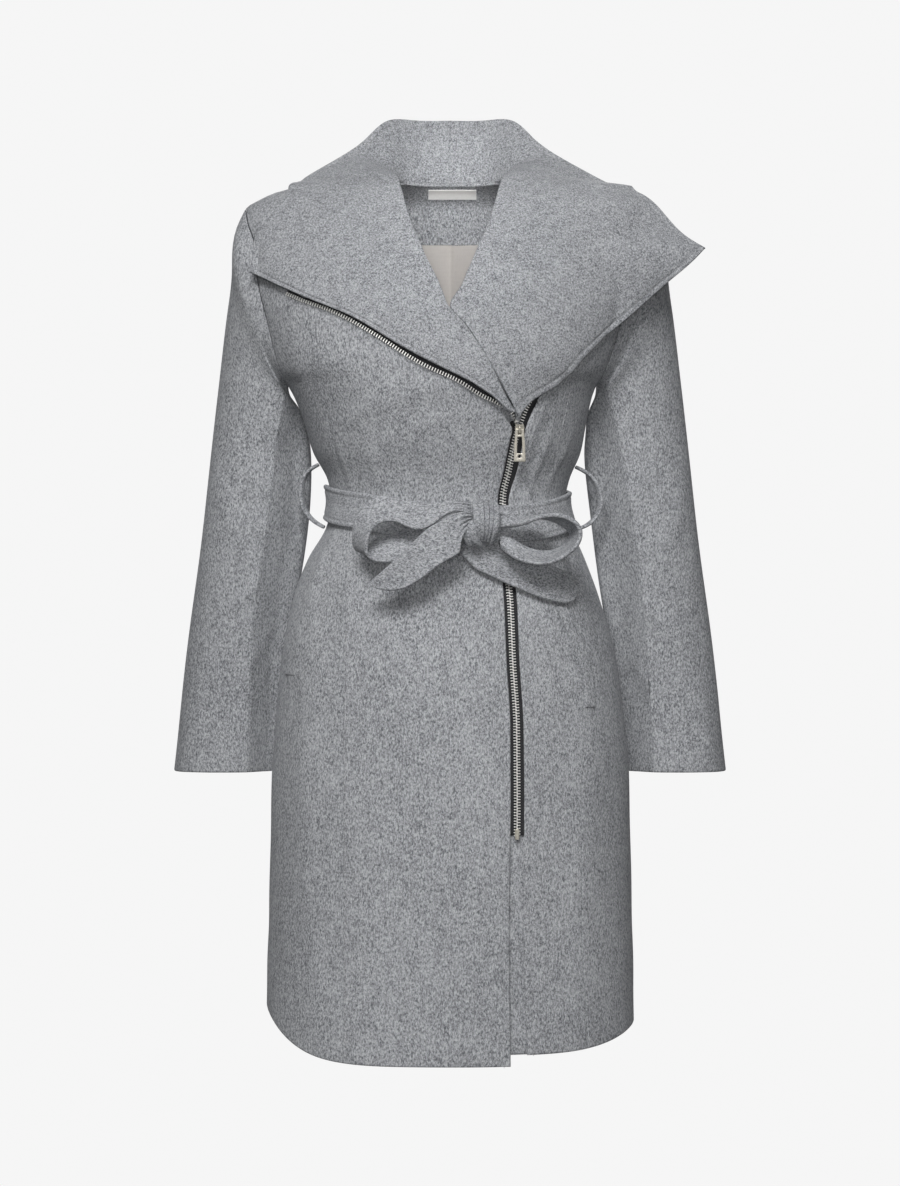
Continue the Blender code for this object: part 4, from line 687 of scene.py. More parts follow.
def pocket_mouth(side):
    """Sinks the cloth along the pocket's mouth, and lifts its lip just in front of it."""
    rows = np.array(RIGHT_POCKET if side == "right" else LEFT_POCKET)[::-1]
    line = smooth_curve(rows[:, 1], rows[:, 0])

    def relief(angle, z):
        inward = -SIGNS[side] * (body(angle, z)[..., 0] - line(z))  # towards the front's middle
        lower, upper = z - rows[0, 1] + POCKET_PAST, rows[-1, 1] + POCKET_PAST - z
        along = smoothstep(lower / POCKET_FADE) * smoothstep(upper / POCKET_FADE)
        return along * sum(height * np.exp(-((inward + outward) / half_width) ** 2)
                           for outward, half_width, height in (POCKET_SLIT, POCKET_LIP))

    return relief


def make_fronts():
    right_side, left_side = side_line("right", False), side_line("left", False)
    half = SEAM / 2
    sewn = SIDES_SEWN | {"first_row": TURNED}
    side_rows, rows = body_rows(PRINCESS_MEETS_SHOULDER_Z), body_rows(FRONT_TOP_Z)
    panel("right_front_side", side_rows, right_side, front_line("right_princess", -half), sewn,
          relief=pocket_mouth("right"))
    panel("left_front_side", side_rows, front_line("left_princess", half), left_side, sewn,
          shorter=LEFT_FRONT_SHORTER, relief=pocket_mouth("left"))

    def right_outer(z):
        return np.maximum(front_line("right_princess", half)(z), right_side(z))

    def left_outer(z):
        return np.minimum(front_line("left_princess", -half)(z), left_side(z))

    panel("right_front_centre", rows, right_outer, front_line("right_edge", 0),
          sewn | {"last_column": TURNED}, grooves=(("last_column", *EDGE_STITCH),))
    panel("left_front_centre", rows, front_line("left_edge", 0), left_outer, sewn | {"first_column": TURNED},
          shorter=LEFT_FRONT_SHORTER, grooves=(("first_column", *EDGE_STITCH),))
    panel("underlap", rows, front_line("underlap_edge", 0), front_line("left_edge", UNDERLAP_SEAM),
          {"first_row": TURNED, "first_column": TURNED}, top=UNDERLAP_TOP, shorter=LEFT_FRONT_SHORTER)


def make_backs():
    for side, sign in SIGNS.items():
        def centre(z, sign=sign):
            return angle_at(sign * SEAM / 2, z, True)

        panel(f"back_{side}", body_rows(), side_line(side, True), centre, SIDES_SEWN | {"first_row": TURNED},
              to_collar=True)


def lining_pleat(angle, z):
    """The lining's soft pleat down the middle of the back, folded to one side and fading out below."""
    x = body(angle, z)[..., 0] - PLEAT_X
    fade = 0.6 + 0.4 * smoothstep((z + 0.15) / 0.08)
    step = smoothstep((x + 0.0010) / 0.0020)
    pleat = 0.0080 * step * np.exp(-np.maximum(x, 0) / 0.020)
    return -fade * (pleat + 0.0012 * np.exp(-((x + 0.012) / 0.006) ** 2))


def make_back_neck():
    facing_top, low = -WOOL - SEAM, FACING_LOW_Z + SEAM / 2
    facing_rows = low + (NECK_Z - low) * spaced(NECK_Z - FACING_LOW_Z)[0]

    def start(z):
        return mix(side_line("left", True)(z), math.pi, BACK_BARE_SHARE)

    def end(z):
        return 2 * math.pi + mix(side_line("right", True)(z), -math.pi, BACK_BARE_SHARE)

    panel("back_neck_facing", facing_rows, start, end, {"first_row": SEWN}, top=facing_top, thick=FACING,
          to_collar=True)
    panel("back_lining", stretch(LINING_LOW_Z, LINING_TOP_Z), start, end, {"last_row": CUT}, finish="lining",
          top=facing_top, thick=LINING, step=0.0016, relief=lining_pleat)
    panel("neck_label", stretch(LABEL_LOW_Z, LABEL_TOP_Z, 0.0015), lambda z: angle_at(LABEL_LEFT_X, z, True),
          lambda z: 2 * math.pi + angle_at(LABEL_RIGHT_X, z, True), dict.fromkeys(BORDERS, CUT),
          finish="label", top=facing_top - FACING - LABEL_GAP, thick=LABEL, step=0.0015)


def sleeve_ring(row, side, degrees, shrink):
    """Points round one section of a sleeve, from 0 degrees on its inner side by 90 at its front."""
    at = dict(zip(SLEEVE_COLUMNS, row))
    outer = np.array([at["outer_x"], at["outer_z"]])
    inner = np.array([at[side + "_in"], at["inner_z"]])
    middle, half = (outer + inner) / 2, np.linalg.norm(outer - inner) / 2
    away = unit(outer - inner)
    turn, power = np.radians(degrees), 2 / SECTION_POWER
    cosine, sine = np.cos(turn), np.sin(turn)
    across, deep = squared(cosine, power), squared(sine, power)
    seam = math.radians(at["seam_deg"])
    near = np.clip(np.abs(np.arctan2(sine, cosine)) / seam, 0, 1)
    straight = UNDER_STRAIGHT * smoothstep(2 * near) * (near < 1)
    across += straight * (1 - near * (1 - math.cos(seam) ** power) - across)
    deep += straight * (np.sign(sine) * near * math.sin(seam) ** power - deep)
    along = -(half - shrink) * across
    y = at["mid_y"] - (at["half_depth"] - shrink) * deep
    x = middle[0] + away[0] * along + at["bow"] * np.abs(sine)
    return np.stack([SIGNS[side] * x, y, middle[1] + away[1] * along], axis=-1)


def armhole_ring(side, degrees, shrink):
    """The sleeve's first ring, just outside the armhole's edge."""
    sign, turn = SIGNS[side], np.radians(np.mod(degrees, 360))
    middle, half = (UNDERARM_Z + SHOULDER_Z) / 2, (SHOULDER_Z - UNDERARM_Z) / 2
    z = middle - half * np.cos(turn)
    edge = body(angle_at(sign * ARM[side](z), z, turn > math.pi), z)
    inward = np.stack([0 * z, BODY["mid"](z) - edge[:, 1], (middle - z) * 0.5], axis=-1)
    return edge + unit(inward) * shrink + np.array([sign * SLEEVE_GAP, 0, 0])


def sleeve_grid(side, piece, shrink, share):
    """A sleeve piece's points in rings at even shares round, and how far round they are in degrees."""
    seams = [ARMHOLE_SEAM_DEG] + [row[-1] for row in SLEEVE_SECTIONS]
    trims = [0.0] + [math.degrees(SEAM / 2 / row[-2]) for row in SLEEVE_SECTIONS]
    trims[0], trims[1] = 3 * trims[1], 2 * trims[1]
    rings, turns = [], []
    for row, seam, trim in zip([None, *SLEEVE_SECTIONS], seams, trims):
        low, high = (seam + trim, 360 - seam - trim) if piece == "upper" else (trim - seam, seam - trim)
        turns.append(mix(low, high, share))
        rings.append(sleeve_ring(row, side, turns[-1], shrink) if row else
                     armhole_ring(side, turns[-1], shrink))
    return np.array(rings), np.array(turns)


def make_sleeve(side, piece):
    share = spaced(SLEEVE_SPANS[piece])[0]
    rings, turns = sleeve_grid(side, piece, 0.0, share)
    inner_rings, _ = sleeve_grid(side, piece, WOOL, share)
    down = lengths(rings.mean(axis=1))
    places = stretch(0.0, down[-1])
    flat = (len(down), -1)
    outer = flowing_curve(down, rings.reshape(flat))(places).reshape(len(places), -1, 3)
    inner = flowing_curve(down, inner_rings.reshape(flat))(places).reshape(len(places), -1, 3)
    degrees = flowing_curve(down, turns)(places)
    places = places[:, None]
    out = WAVE * np.sin(30 * places + np.radians(degrees) * 3)
    for at_side, at, height, *sizes in SLEEVE_FOLDS:
        if at_side == side:
            around = (np.mod(degrees - at + 180, 360) - 180) * math.radians(SLEEVE_RADIUS)
            out = out + fold(around, height - places, *sizes)
    out = (out * smoothstep(places / SLEEVE_HEAD))[..., None] * unit(outer - inner)
    cloth(f"{side}_{piece}_sleeve", outer + out, inner + out, "wool",
          SIDES_SEWN | {"first_row": SEWN, "last_row": TURNED})


def push_out(points, gap):
    """Moves points that are nearer to the body form than the gap straight out to that distance."""
    moved = points.copy()
    for _ in range(PUSH_STEPS):
        normal, steepness = body_normal(moved)
        short = gap - body_share(moved) / steepness
        moved += normal * np.clip(short, 0.0, PUSH_MOST)[..., None]
    return moved


def grid_normals(grid):
    return unit(np.cross(np.gradient(grid, axis=0), np.gradient(grid, axis=1)))


def make_collar(side, lapel_rows, tip):
    """Collar and lapel in one. The free edge keeps a corner at its tip."""
    sign = SIGNS[side]
    angle, seat, *neck_edge, neck_lift = np.array(NECK_ROWS).T
    neck_roll = body(sign * np.radians(angle), NECK_Z) + seat[:, None] * np.array([0, 0, 1])
    neck_edge = np.stack(neck_edge, axis=1) * np.array([sign, 1, 1])
    roll_x, roll_z, *lapel_edge, lapel_lift, clear = np.array(lapel_rows).T
    rolls = np.concatenate([neck_roll, front_point(roll_x, roll_z, clear + DOUBLE_WOOL)])
    edges = np.concatenate([neck_edge, np.stack(lapel_edge, axis=1)])
    rolls[0, 0] = edges[0, 0] = sign * 1e-5
    lifts = np.concatenate([neck_lift, lapel_lift])
    gaps = np.concatenate([np.zeros(len(angle)), clear + DOUBLE_WOOL])
    tip += len(angle)
    place = lengths(edges)
    fine = np.unique(np.concatenate([stretch(0.0, place[-1], COLLAR_STEP), place[tip:tip + 1]]))
    before, after = fine[fine <= place[tip]], fine[fine > place[tip]]
    free_edge = np.concatenate([flowing_curve(place[:tip + 1], edges[:tip + 1])(before),
                                flowing_curve(place[tip:], edges[tip:])(after)])
    roll = flowing_curve(place, rolls)(fine)
    lift, gap = np.interp(fine, place, lifts), np.interp(fine, place, gaps)
    width = np.linalg.norm(free_edge - roll, axis=-1)
    share = spaced(width, COLLAR_STEP_ACROSS, stitched=True)[..., None]
    flat = mix(roll[:, None], free_edge[:, None], share)
    bulge = 4 * share * (1 - share) * lift[:, None, None]
    x, z = flat[..., :1], flat[..., 2:]
    wave = COLLAR_WAVE * np.sin(55 * x + 40 * z) * np.sin(34 * z - 20 * x)
    grid = flat + sign * grid_normals(flat) * (bulge + wave * np.minimum(1, 4 * share))
    on_body = fine > place[len(angle) - 1]
    grid[on_body] = push_out(grid[on_body], gap[on_body][:, None])
    facing = sign * grid_normals(grid)
    facing[0, :, 0] = 0
    cloth(f"{side}_collar", grid, grid - unit(facing) * DOUBLE_WOOL, "wool_bias",
          {"first_row": SEWN, "last_row": TURNED, "first_column": SEWN, "last_column": TURNED},
          (("last_column", *COLLAR_STITCH),))


def make_belt_band():
    angle = np.linspace(-math.pi, math.pi, BAND_LINES + 1)[:-1]
    middle = BELT_Z(np.degrees(angle)) + 0.0006 * np.sin(7 * angle)
    share = spaced(2 * BELT_HALF_WIDTH, BAND_STEP, stitched=True)[0]
    z = middle[None, :] + (2 * share[:, None] - 1) * BELT_HALF_WIDTH
    angle = np.broadcast_to(angle, z.shape)
    creased = sum(fold((angle - math.radians(at)) * FOLD_RADIUS, z - at_z, 0, 0.020, 0.006, 0.0008)
                  for at, at_z in BAND_CREASES)
    out = LAID_ON + folds(angle, z) * 0.5 + np.maximum(creased, 0)
    cloth("belt_band", body(angle, z, out + BELT_THICK), body(angle, z, out), "wool_belt",
          {"first_row": TURNED, "last_row": TURNED},
          (("first_row", *BAND_STITCH), ("last_row", *BAND_STITCH)), ring=True)


def end_cut(left_in, depth, reach):
    """How much of a strap's lower side is cut away towards its rounded end."""
    near = 1 - np.clip(left_in / reach, 0, 1)
    return depth * (1 - np.sqrt(1 - near ** 2))


def ribbon(name, rows, thick, cup=0.0, gathered=0.0, step=0.0026, cut=None):
    """A strap along a path, with its own direction across, its own half width and gathers by the knot."""
    table = np.array(rows, float)
    place = lengths(table[:, :3])
    fine = stretch(0.0, place[-1], step)
    centres, across = np.split(flowing_curve(place, table[:, :6])(fine), 2, axis=1)
    half_width = smooth_curve(place, table[:, 6])(fine)
    across = unit(across)
    facing = unit(np.cross(np.gradient(centres, axis=0), across))
    wide = half_width.max() > 0.01
    share = spaced(2 * half_width, STRAP_STEP, stitched=wide)
    side = 2 * share - 1
    near = np.minimum(fine, fine[-1] - fine)[:, None]
    if cut:
        gone = end_cut(fine[-1] - fine, *cut)[:, None] / half_width[:, None]
        side = -1 + gone + (2 - gone) * share
        near = fine[:, None]
    pleats = np.cos(2 * math.pi * (2.2 * side + 0.15)) * np.exp(-(near / 0.022) ** 2)
    out = cup * (1 - side ** 2) + gathered * pleats
    middle = centres[:, None] + across[:, None] * (side * half_width[:, None])[..., None]
    middle += facing[:, None] * out[..., None]
    lift = facing[:, None] * thick / 2
    cloth(name, middle + lift, middle - lift, "wool_belt", SIDES_TURNED | {"first_row": CUT, "last_row": CUT},
          BELT_STITCHES if wide else ())


def strip_point(path, raised, side, height, turn):
    """Points beside a path of x and z on the front. turn rolls the strip's section about the path."""
    along = unit(np.gradient(path, axis=0))
    sideways = np.stack([-along[:, 1], along[:, 0]], axis=1)
    cosine, sine = np.cos(turn), np.sin(turn)
    x, z = (path + sideways * (side * cosine - height * sine)[:, None]).T
    angle = angle_at(x, z)
    return body(angle, z, raised + side * sine + height * cosine + folds(angle, z))


def strip_on_body(name, path, raised, sides, top, bottom, finish, turn=0.0, rims=None, grooves=(), cup=0.0):
    """A flat strip along a path of x and z on the front. Its sides lie to the path's left as it climbs."""
    width = np.abs(sides[1] - sides[0]) + np.zeros(len(path))
    shares = spaced(width, STRAP_STEP, stitched=bool(grooves))
    walls = []
    for height in (top, bottom):
        lines = []
        for share in shares.T:
            side, curl = mix(*sides, share), cup * (2 * share - 1) ** 2
            lines.append(strip_point(path, raised + curl, side, height + 0 * side, turn))
        walls.append(np.stack(lines, axis=1))
    cloth(name, *walls, finish, rims or dict.fromkeys(BORDERS, CUT), grooves)


def make_straps():
    """The bow's loops and the belt's two ends. Each end's lower corner is rounded away."""
    for name, rows in BELT_STRAPS.items():
        ribbon(name, rows, BELT_THICK, **(LOOP_SHAPE if name.endswith("loop") else TAIL_SHAPE))
    table = np.array(LEFT_TAIL)
    place = lengths(table[:, :2])
    fine = stretch(0.0, place[-1], 0.0026)
    path = flowing_curve(place, table[:, :2])(fine)
    raised, half = (smooth_curve(place, column)(fine) for column in table[:, 2:].T)
    cut = end_cut(fine[-1] - fine, *LEFT_TAIL_CUT)
    strip_on_body("left_belt_tail", path, raised, (-half + cut, half - cut), BELT_THICK, 0.0, "wool_belt",
                  rims=SIDES_TURNED | {"last_row": TURNED, "first_row": CUT}, grooves=BELT_STITCHES,
                  cup=LEFT_TAIL_CUP)


def ring_faces(rings, turns):
    """The side faces of a shape made of rings of points, one ring after another."""
    faces = []
    for i in range(rings - 1):
        for j in range(turns):
            k = (j + 1) % turns
            faces.append([i * turns + j, i * turns + k, (i + 1) * turns + k, (i + 1) * turns + j])
    return faces


def capped(rings):
    """A closed shape from rings of points, with a flat face over each end, as points and faces."""
    rings = np.array(rings)
    count, sides = rings.shape[:2]
    ends = [list(range(sides)), list(range((count - 1) * sides, count * sides))]
    return rings.reshape(-1, 3), ends + ring_faces(count, sides)


def pointed(rings, poles):
    """A closed shape from rings of points and one more point to close each end, as points and faces."""
    count, sides = rings.shape[:2]
    last = (count - 1) * sides
    faces = ring_faces(count, sides)
    for j in range(sides):
        k = (j + 1) % sides
        faces += [[count * sides, k, j], [count * sides + 1, last + j, last + k]]
    return np.concatenate([rings.reshape(-1, 3), poles]), faces


def joined(name, shapes, merge=0.0):
    """One mesh from several closed shapes, with its faces turned outwards and near points merged."""
    shape = bmesh.new()
    for points, faces in shapes:
        corners = [shape.verts.new(point) for point in points]
        for face in faces:
            shape.faces.new([corners[i] for i in face])
    if merge:
        bmesh.ops.remove_doubles(shape, verts=shape.verts, dist=merge)
    bmesh.ops.recalc_face_normals(shape, faces=shape.faces)
    mesh = bpy.data.meshes.new(name)
    shape.to_mesh(mesh)
    shape.free()
    return mesh


def lobe(centre, half, power=2.5, turns=48, slices=30):
    """A rounded closed lump, as points and faces."""
    theta = np.linspace(0, 2 * math.pi, turns, endpoint=False)[None, :]
    s = np.sin(np.linspace(-math.pi / 2, math.pi / 2, slices + 2)[1:-1])[:, None]
    swell = (1 - np.abs(s) ** power) ** (1 / power)
    cosine, sine = np.cos(theta), np.sin(theta)
    scale = swell * (np.abs(cosine) ** power + np.abs(sine) ** power) ** (-1 / power)
    points = np.stack([half[0] * s + 0 * theta, -half[1] * scale * cosine, half[2] * scale * sine], axis=-1)
    return pointed(points + centre, np.array([[-half[0], 0, 0], [half[0], 0, 0]]) + centre)


def wrap(rows, creases, turns=180, steps=72):
    """A thick fold of cloth along a path, with creases in its outer side, as points and faces.

    The outer side faces away from the middle of the path's bend.
    """
    table = np.array(rows)
    place = lengths(table[:, :3])
    t = (1 - np.cos(np.linspace(0, math.pi, steps + 2)[1:-1])) / 2
    values = flowing_curve(place, table)(place[-1] * t)
    path, half_width, half_thick = values[:, :3], values[:, 3], values[:, 4]
    along = unit(np.gradient(path, axis=0))
    outward = path - table[:, :3].mean(axis=0)
    outward = unit(outward - along * (outward * along).sum(axis=1, keepdims=True))
    across = np.cross(along, outward)
    ends = (1 - np.abs(2 * t - 1) ** 7) ** 0.5
    turn = np.linspace(0, 2 * math.pi, turns, endpoint=False)
    side, height = squared(np.cos(turn), 0.8), squared(np.sin(turn), 0.8)
    sunk = np.zeros((steps, turns))
    for start, end, depth, width in creases:
        line = mix(start, end, t)[:, None]
        sunk += depth * np.exp(-((side[None, :] - line) / width) ** 2) * (height > 0)
    wide = (half_width * ends)[:, None] * side
    tall = (half_thick * ends)[:, None] * height - sunk * ends[:, None]
    points = path[:, None] + across[:, None] * wide[..., None] + outward[:, None] * tall[..., None]
    return pointed(points, path[[0, -1]] + along[[0, -1]] * np.array([[-0.0004], [0.0004]]))


def make_knot():
    """The wrap over the knot, the core that it goes round and the tucked fold at its lower left."""
    mesh = joined("belt_knot", (lobe(*KNOT_CORE), wrap(KNOT_WRAP, WRAP_CREASES),
                                wrap(KNOT_FOLD, FOLD_CREASES)))
    mesh.shade_smooth()
    new_piece("belt_knot", mesh, "wool_belt")


def make_carriers():
    for side, rows in (("right", RIGHT_CARRIER), ("left", LEFT_CARRIER)):
        turned = CARRIER_TURN * np.sin(np.linspace(0.15, math.pi - 0.3, len(rows)))
        table = [(x, CARRIER_Y, z, SIGNS[side] * math.sin(a), -math.cos(a), 0.0, CARRIER_HALF_WIDTH)
                 for (x, z), a in zip(rows, turned)]
        ribbon(f"{side}_belt_carrier", table, CARRIER_THICK, step=0.0020)


def make_pockets():
    for side, rows in (("right", RIGHT_POCKET), ("left", LEFT_POCKET)):
        table = np.array(rows[::-1])
        place = lengths(table)
        path = flowing_curve(place, table)(stretch(0.0, place[-1], 0.004))
        level = np.zeros(len(path))
        strip_on_body(f"{side}_pocket_facing", path, level, (level, level + SIGNS[side] * POCKET_WIDTH),
                      POCKET_GAP + POCKET_THICK, POCKET_GAP, "wool", rims=dict.fromkeys(BORDERS, TURNED))


# The zip's chain and the stitches, as one small shape repeated along a path
TOOTH_PITCH, TOOTH_UNEVEN, TOOTH_SEED = 0.00284, 0.03, 3
STITCH_PITCH, STITCH_UNEVEN, STITCH_SEED = 0.0032, 0.10, 11
CHAIN_SHIFT = 0.0014  # the chain lies off the middle of its gap just above the belt
TOOTH_OUTLINE = (  # from the head to the legs on the tape: distance out from the zip's middle, and half width
    (-0.00060, 0.00036), (-0.00015, 0.00062), (0.00070, 0.00062), (0.00115, 0.00044), (0.00300, 0.00058),
    (0.00330, 0.00042),
)
TOOTH_TOP, TOOTH_CHAMFER = 0.0010, 0.00025
STITCH_RINGS = (  # place along the stitch, radius, and how far it dips into the cloth
    (-0.00135, 0.00010, 0.00040), (-0.00095, 0.00024, 0.00012), (0.0, 0.00029, 0.0),
    (0.00095, 0.00024, 0.00012), (0.00135, 0.00010, 0.00040),
)
STITCH_SIDES, STITCH_PROUD = 6, 0.00012
TREE_INPUTS = (
    ("Path", "NodeSocketGeometry"), ("Shape", "NodeSocketObject"), ("Pitch", "NodeSocketFloat"),
    ("Unevenness", "NodeSocketFloat"), ("Seed", "NodeSocketInt"), ("Finish", "NodeSocketMaterial"),
)
TREE_NODES = {
    "given": ("NodeGroupInput", {}), "made": ("NodeGroupOutput", {}),
    "curve": ("GeometryNodeMeshToCurve", {}),
    "resample": ("GeometryNodeResampleCurve", {"mode": "LENGTH"}), "shape": ("GeometryNodeObjectInfo", {}),
    "heading": ("GeometryNodeInputNamedAttribute", {"data_type": "FLOAT_VECTOR"}),
    "facing": ("GeometryNodeInputNamedAttribute", {"data_type": "FLOAT_VECTOR"}),
    "turn": ("FunctionNodeAxesToRotation", {"primary_axis": "Z", "secondary_axis": "X"}),
    "smallest": ("ShaderNodeMath", {"operation": "SUBTRACT"}),
    "size": ("FunctionNodeRandomValue", {"data_type": "FLOAT"}),
    "copies": ("GeometryNodeInstanceOnPoints", {}),
    "real": ("GeometryNodeRealizeInstances", {}), "finish": ("GeometryNodeSetMaterial", {}),
}
TREE_VALUES = (
    ("heading", "Name", "heading"), ("facing", "Name", "facing"), ("smallest", 0, 1.0), ("size", 3, 1.0),
)
TREE_LINKS = (
    ("given", "Path", "curve", "Mesh"), ("curve", "Curve", "resample", "Curve"),
    ("given", "Pitch", "resample", "Length"), ("given", "Shape", "shape", "Object"),
    ("given", "Unevenness", "smallest", 1), ("smallest", 0, "size", 2), ("given", "Seed", "size", "Seed"),
    ("facing", "Attribute", "turn", "Primary Axis"), ("heading", "Attribute", "turn", "Secondary Axis"),
    ("resample", "Curve", "copies", "Points"), ("shape", "Geometry", "copies", "Instance"),
    ("turn", "Rotation", "copies", "Rotation"), ("size", 1, "copies", "Scale"),
    ("copies", "Instances", "real", "Geometry"), ("real", "Geometry", "finish", "Geometry"),
    ("given", "Finish", "finish", "Material"), ("finish", "Geometry", "made", "Row"),
)


def repeat_tree():
    """Nodes that set a shape at every step along a path, turned to the path's own heading and facing."""
    tree = bpy.data.node_groups.new("repeat_along_path", "GeometryNodeTree")
    for name, kind in TREE_INPUTS:
        tree.interface.new_socket(name, in_out="INPUT", socket_type=kind)
    tree.interface.new_socket("Row", in_out="OUTPUT", socket_type="NodeSocketGeometry")
    nodes = {}
    for name, (kind, settings) in TREE_NODES.items():
        nodes[name] = tree.nodes.new(kind)
        for setting, value in settings.items():
            setattr(nodes[name], setting, value)
    for name, socket, value in TREE_VALUES:
        nodes[name].inputs[socket].default_value = value
    for start, output, end, socket in TREE_LINKS:
        tree.links.new(nodes[start].outputs[output], nodes[end].inputs[socket])
    return tree


def repeated(name, lines, shape, pitch, unevenness, seed, finish, tree):
    """One piece made of a shape repeated along lines, each line given as points, headings and facings."""
    mesh = bpy.data.meshes.new("path_" + name)
    points, edges, headings, facings = [], [], [], []
    for line, heading, facing in lines:
        start = len(points)
        points += line.tolist()
        headings.append(heading)
        facings.append(facing)
        edges += [(start + i, start + i + 1) for i in range(len(line) - 1)]
    mesh.from_pydata(points, edges, [])
    for attribute, values in (("heading", headings), ("facing", facings)):
        layer = mesh.attributes.new(attribute, "FLOAT_VECTOR", "POINT")
        layer.data.foreach_set("vector", np.concatenate(values).astype(np.float32).ravel())
    holder, pattern = put("path_" + name, mesh), bpy.data.objects.new("shape_" + name, shape)
    modifier = holder.modifiers.new("repeat", "NODES")
    modifier.node_group = tree
    wanted = {"Shape": pattern, "Pitch": pitch, "Unevenness": unevenness, "Seed": seed,
              "Finish": finish_of(finish)}
    for item in tree.interface.items_tree:
        if item.in_out == "INPUT" and item.name in wanted:
            modifier[item.identifier] = wanted[item.name]
    row = evaluated(holder)
    row.name = name
    bpy.data.objects.remove(pattern)
    row.shade_flat() if finish == "teeth" else row.shade_smooth()
    new_piece(name, row, finish)


def evaluated(holder):
    """The finished mesh of an object, which is then removed."""
    mesh = bpy.data.meshes.new_from_object(holder.evaluated_get(bpy.context.evaluated_depsgraph_get()))
    bpy.data.objects.remove(holder)
    return mesh


def tooth(sign):
    """One zip tooth, its head at the zip's middle and its legs out over the tape on one side."""
    outline = [(x, -w) for x, w in TOOTH_OUTLINE] + [(x, w) for x, w in reversed(TOOTH_OUTLINE)]
    middle_x = sum(x for x, _ in outline) / len(outline)
    level = TOOTH_TOP - TOOTH_CHAMFER
    rings = [[((middle_x + (x - middle_x) * inset) * sign, y * inset, z) for x, y in outline]
             for z, inset in ((-TOOTH_TOP, 0.75), (-level, 1.0), (level, 1.0), (TOOTH_TOP, 0.75))]
    return joined("tooth", [capped(rings)])


def stitch():
    """One short stitch that dips into the cloth at both ends."""
    turn = np.linspace(0, 2 * math.pi, STITCH_SIDES, endpoint=False)
    rings = [[(x, radius * math.cos(a), radius * math.sin(a) - dip) for a in turn]
             for x, radius, dip in STITCH_RINGS]
    return joined("stitch", [capped(rings)])


def zip_x(z):
    return (FRONT["right_edge"](z) + FRONT["left_edge"](z)) / 2


def zip_path(open_rows):
    """The zip from its lower end, closed up to the slider, then along its own open part, as five columns."""
    z = np.arange(ZIP_END_Z, SLIDER_Z, 0.003)
    x = zip_x(z) - CHAIN_SHIFT * np.clip(1 - np.abs(z + 0.285) / 0.035, 0, 1) ** 0.5
    closed = np.stack([x, z, 0 * z, 0 * z, 0 * z + 1], axis=1)
    table = np.array(open_rows)
    place = lengths(table[:, :2])
    fine = np.linspace(0.0, place[-1], round(place[-1] / 0.0015) + 1)
    opened = np.stack([smooth_curve(place, column)(fine) for column in table.T], axis=1)
    return np.concatenate([closed, opened])


def tooth_line(path, raised, turn, sign, start):
    """The middle line of a row of teeth, cut to whole teeth, with the way out to its tape and its facing."""
    middle = (TEETH_TOP + TEETH_BOTTOM) / 2
    level = np.zeros(len(path))
    line = strip_point(path, raised, level, level + middle, turn)
    out = strip_point(path, raised, level + sign * 0.001, level + middle, turn) - line
    up = strip_point(path, raised, level, level + middle + 0.001, turn) - line
    place = lengths(line)
    count = math.floor((place[-1] - start) / TOOTH_PITCH)
    fine = start + np.linspace(0.0, (count + 0.001) * TOOTH_PITCH, count * 2)
    values = np.concatenate([line, out, up], axis=1)
    values = np.stack([np.interp(fine, place, column) for column in values.T], axis=1)
    return values[:, :3], values[:, 3:6] / 0.001 * sign, values[:, 6:] / 0.001


def make_zip(tree):
    for side, rows, start in (("right", RIGHT_OPEN_ZIP, 0.0), ("left", LEFT_OPEN_ZIP, TOOTH_PITCH / 2)):
        sign = -SIGNS[side]
        table = zip_path(rows)
        path, raised, turn, share = table[:, :2], table[:, 2], np.radians(table[:, 3]), table[:, 4]
        raised = raised + OPEN_ZIP_LIFT * smoothstep(turn / math.pi)
        line = tooth_line(path, raised, turn, sign, start)
        repeated(f"{side}_zip_teeth", [line], tooth(sign), TOOTH_PITCH, TOOTH_UNEVEN, TOOTH_SEED, "teeth",
                 tree)
        level = TAPE_LEVEL + (TURNED_TAPE_LEVEL - TAPE_LEVEL) * smoothstep(turn / math.pi)
        wide = SEAM / 2 + TEETH_WIDTH + SEAM * (4 - 3 * share) + TAPE_WIDTH * share
        strip_on_body(f"{side}_zip_tape", path, raised, (sign * TAPE_NEAR, sign * wide), level, level - TAPE,
                      "zip_tape", turn)


def stitch_rows():
    """The stitch lines as paths with their headings along the line."""
    for points, facing in STITCH_LINES_MADE:
        if len(points) > 3:
            yield points + facing * STITCH_PROUD, unit(np.gradient(points, axis=0)), facing


def plate(outlines, thick, bevel, y=0.0):
    """A flat plate with holes and rounded edges, from closed outlines of x and z, as points and faces."""
    curve = bpy.data.curves.new("plate", "CURVE")
    curve.dimensions = "2D"
    curve.fill_mode = "BOTH"
    curve.extrude = thick / 2 - bevel
    curve.bevel_depth = bevel
    curve.offset = -bevel
    curve.bevel_resolution = 2
    for outline in outlines:
        spline = curve.splines.new("POLY")
        spline.points.add(len(outline) - 1)
        spline.use_cyclic_u = True
        for point, (x, z) in zip(spline.points, outline):
            point.co = (x, z, 0, 1)
    mesh = evaluated(put("plate", curve))
    points = np.array([vertex.co for vertex in mesh.vertices])
    faces = [list(face.vertices) for face in mesh.polygons]
    bpy.data.meshes.remove(mesh)
    return np.stack([points[:, 0], y - points[:, 2], points[:, 1]], axis=1), faces


def tube(path, radius, sides=12):
    """A bent wire along a path in the y-z plane, as points and faces."""
    turn = np.linspace(0, 2 * math.pi, sides, endpoint=False)
    wide, tall = radius[0] * np.cos(turn), radius[1] * np.sin(turn)
    return capped([np.stack([wide, y - dz * tall, z + dy * tall], axis=1)
                   for (y, z), (dy, dz) in zip(path, unit(np.gradient(path, axis=0)))])


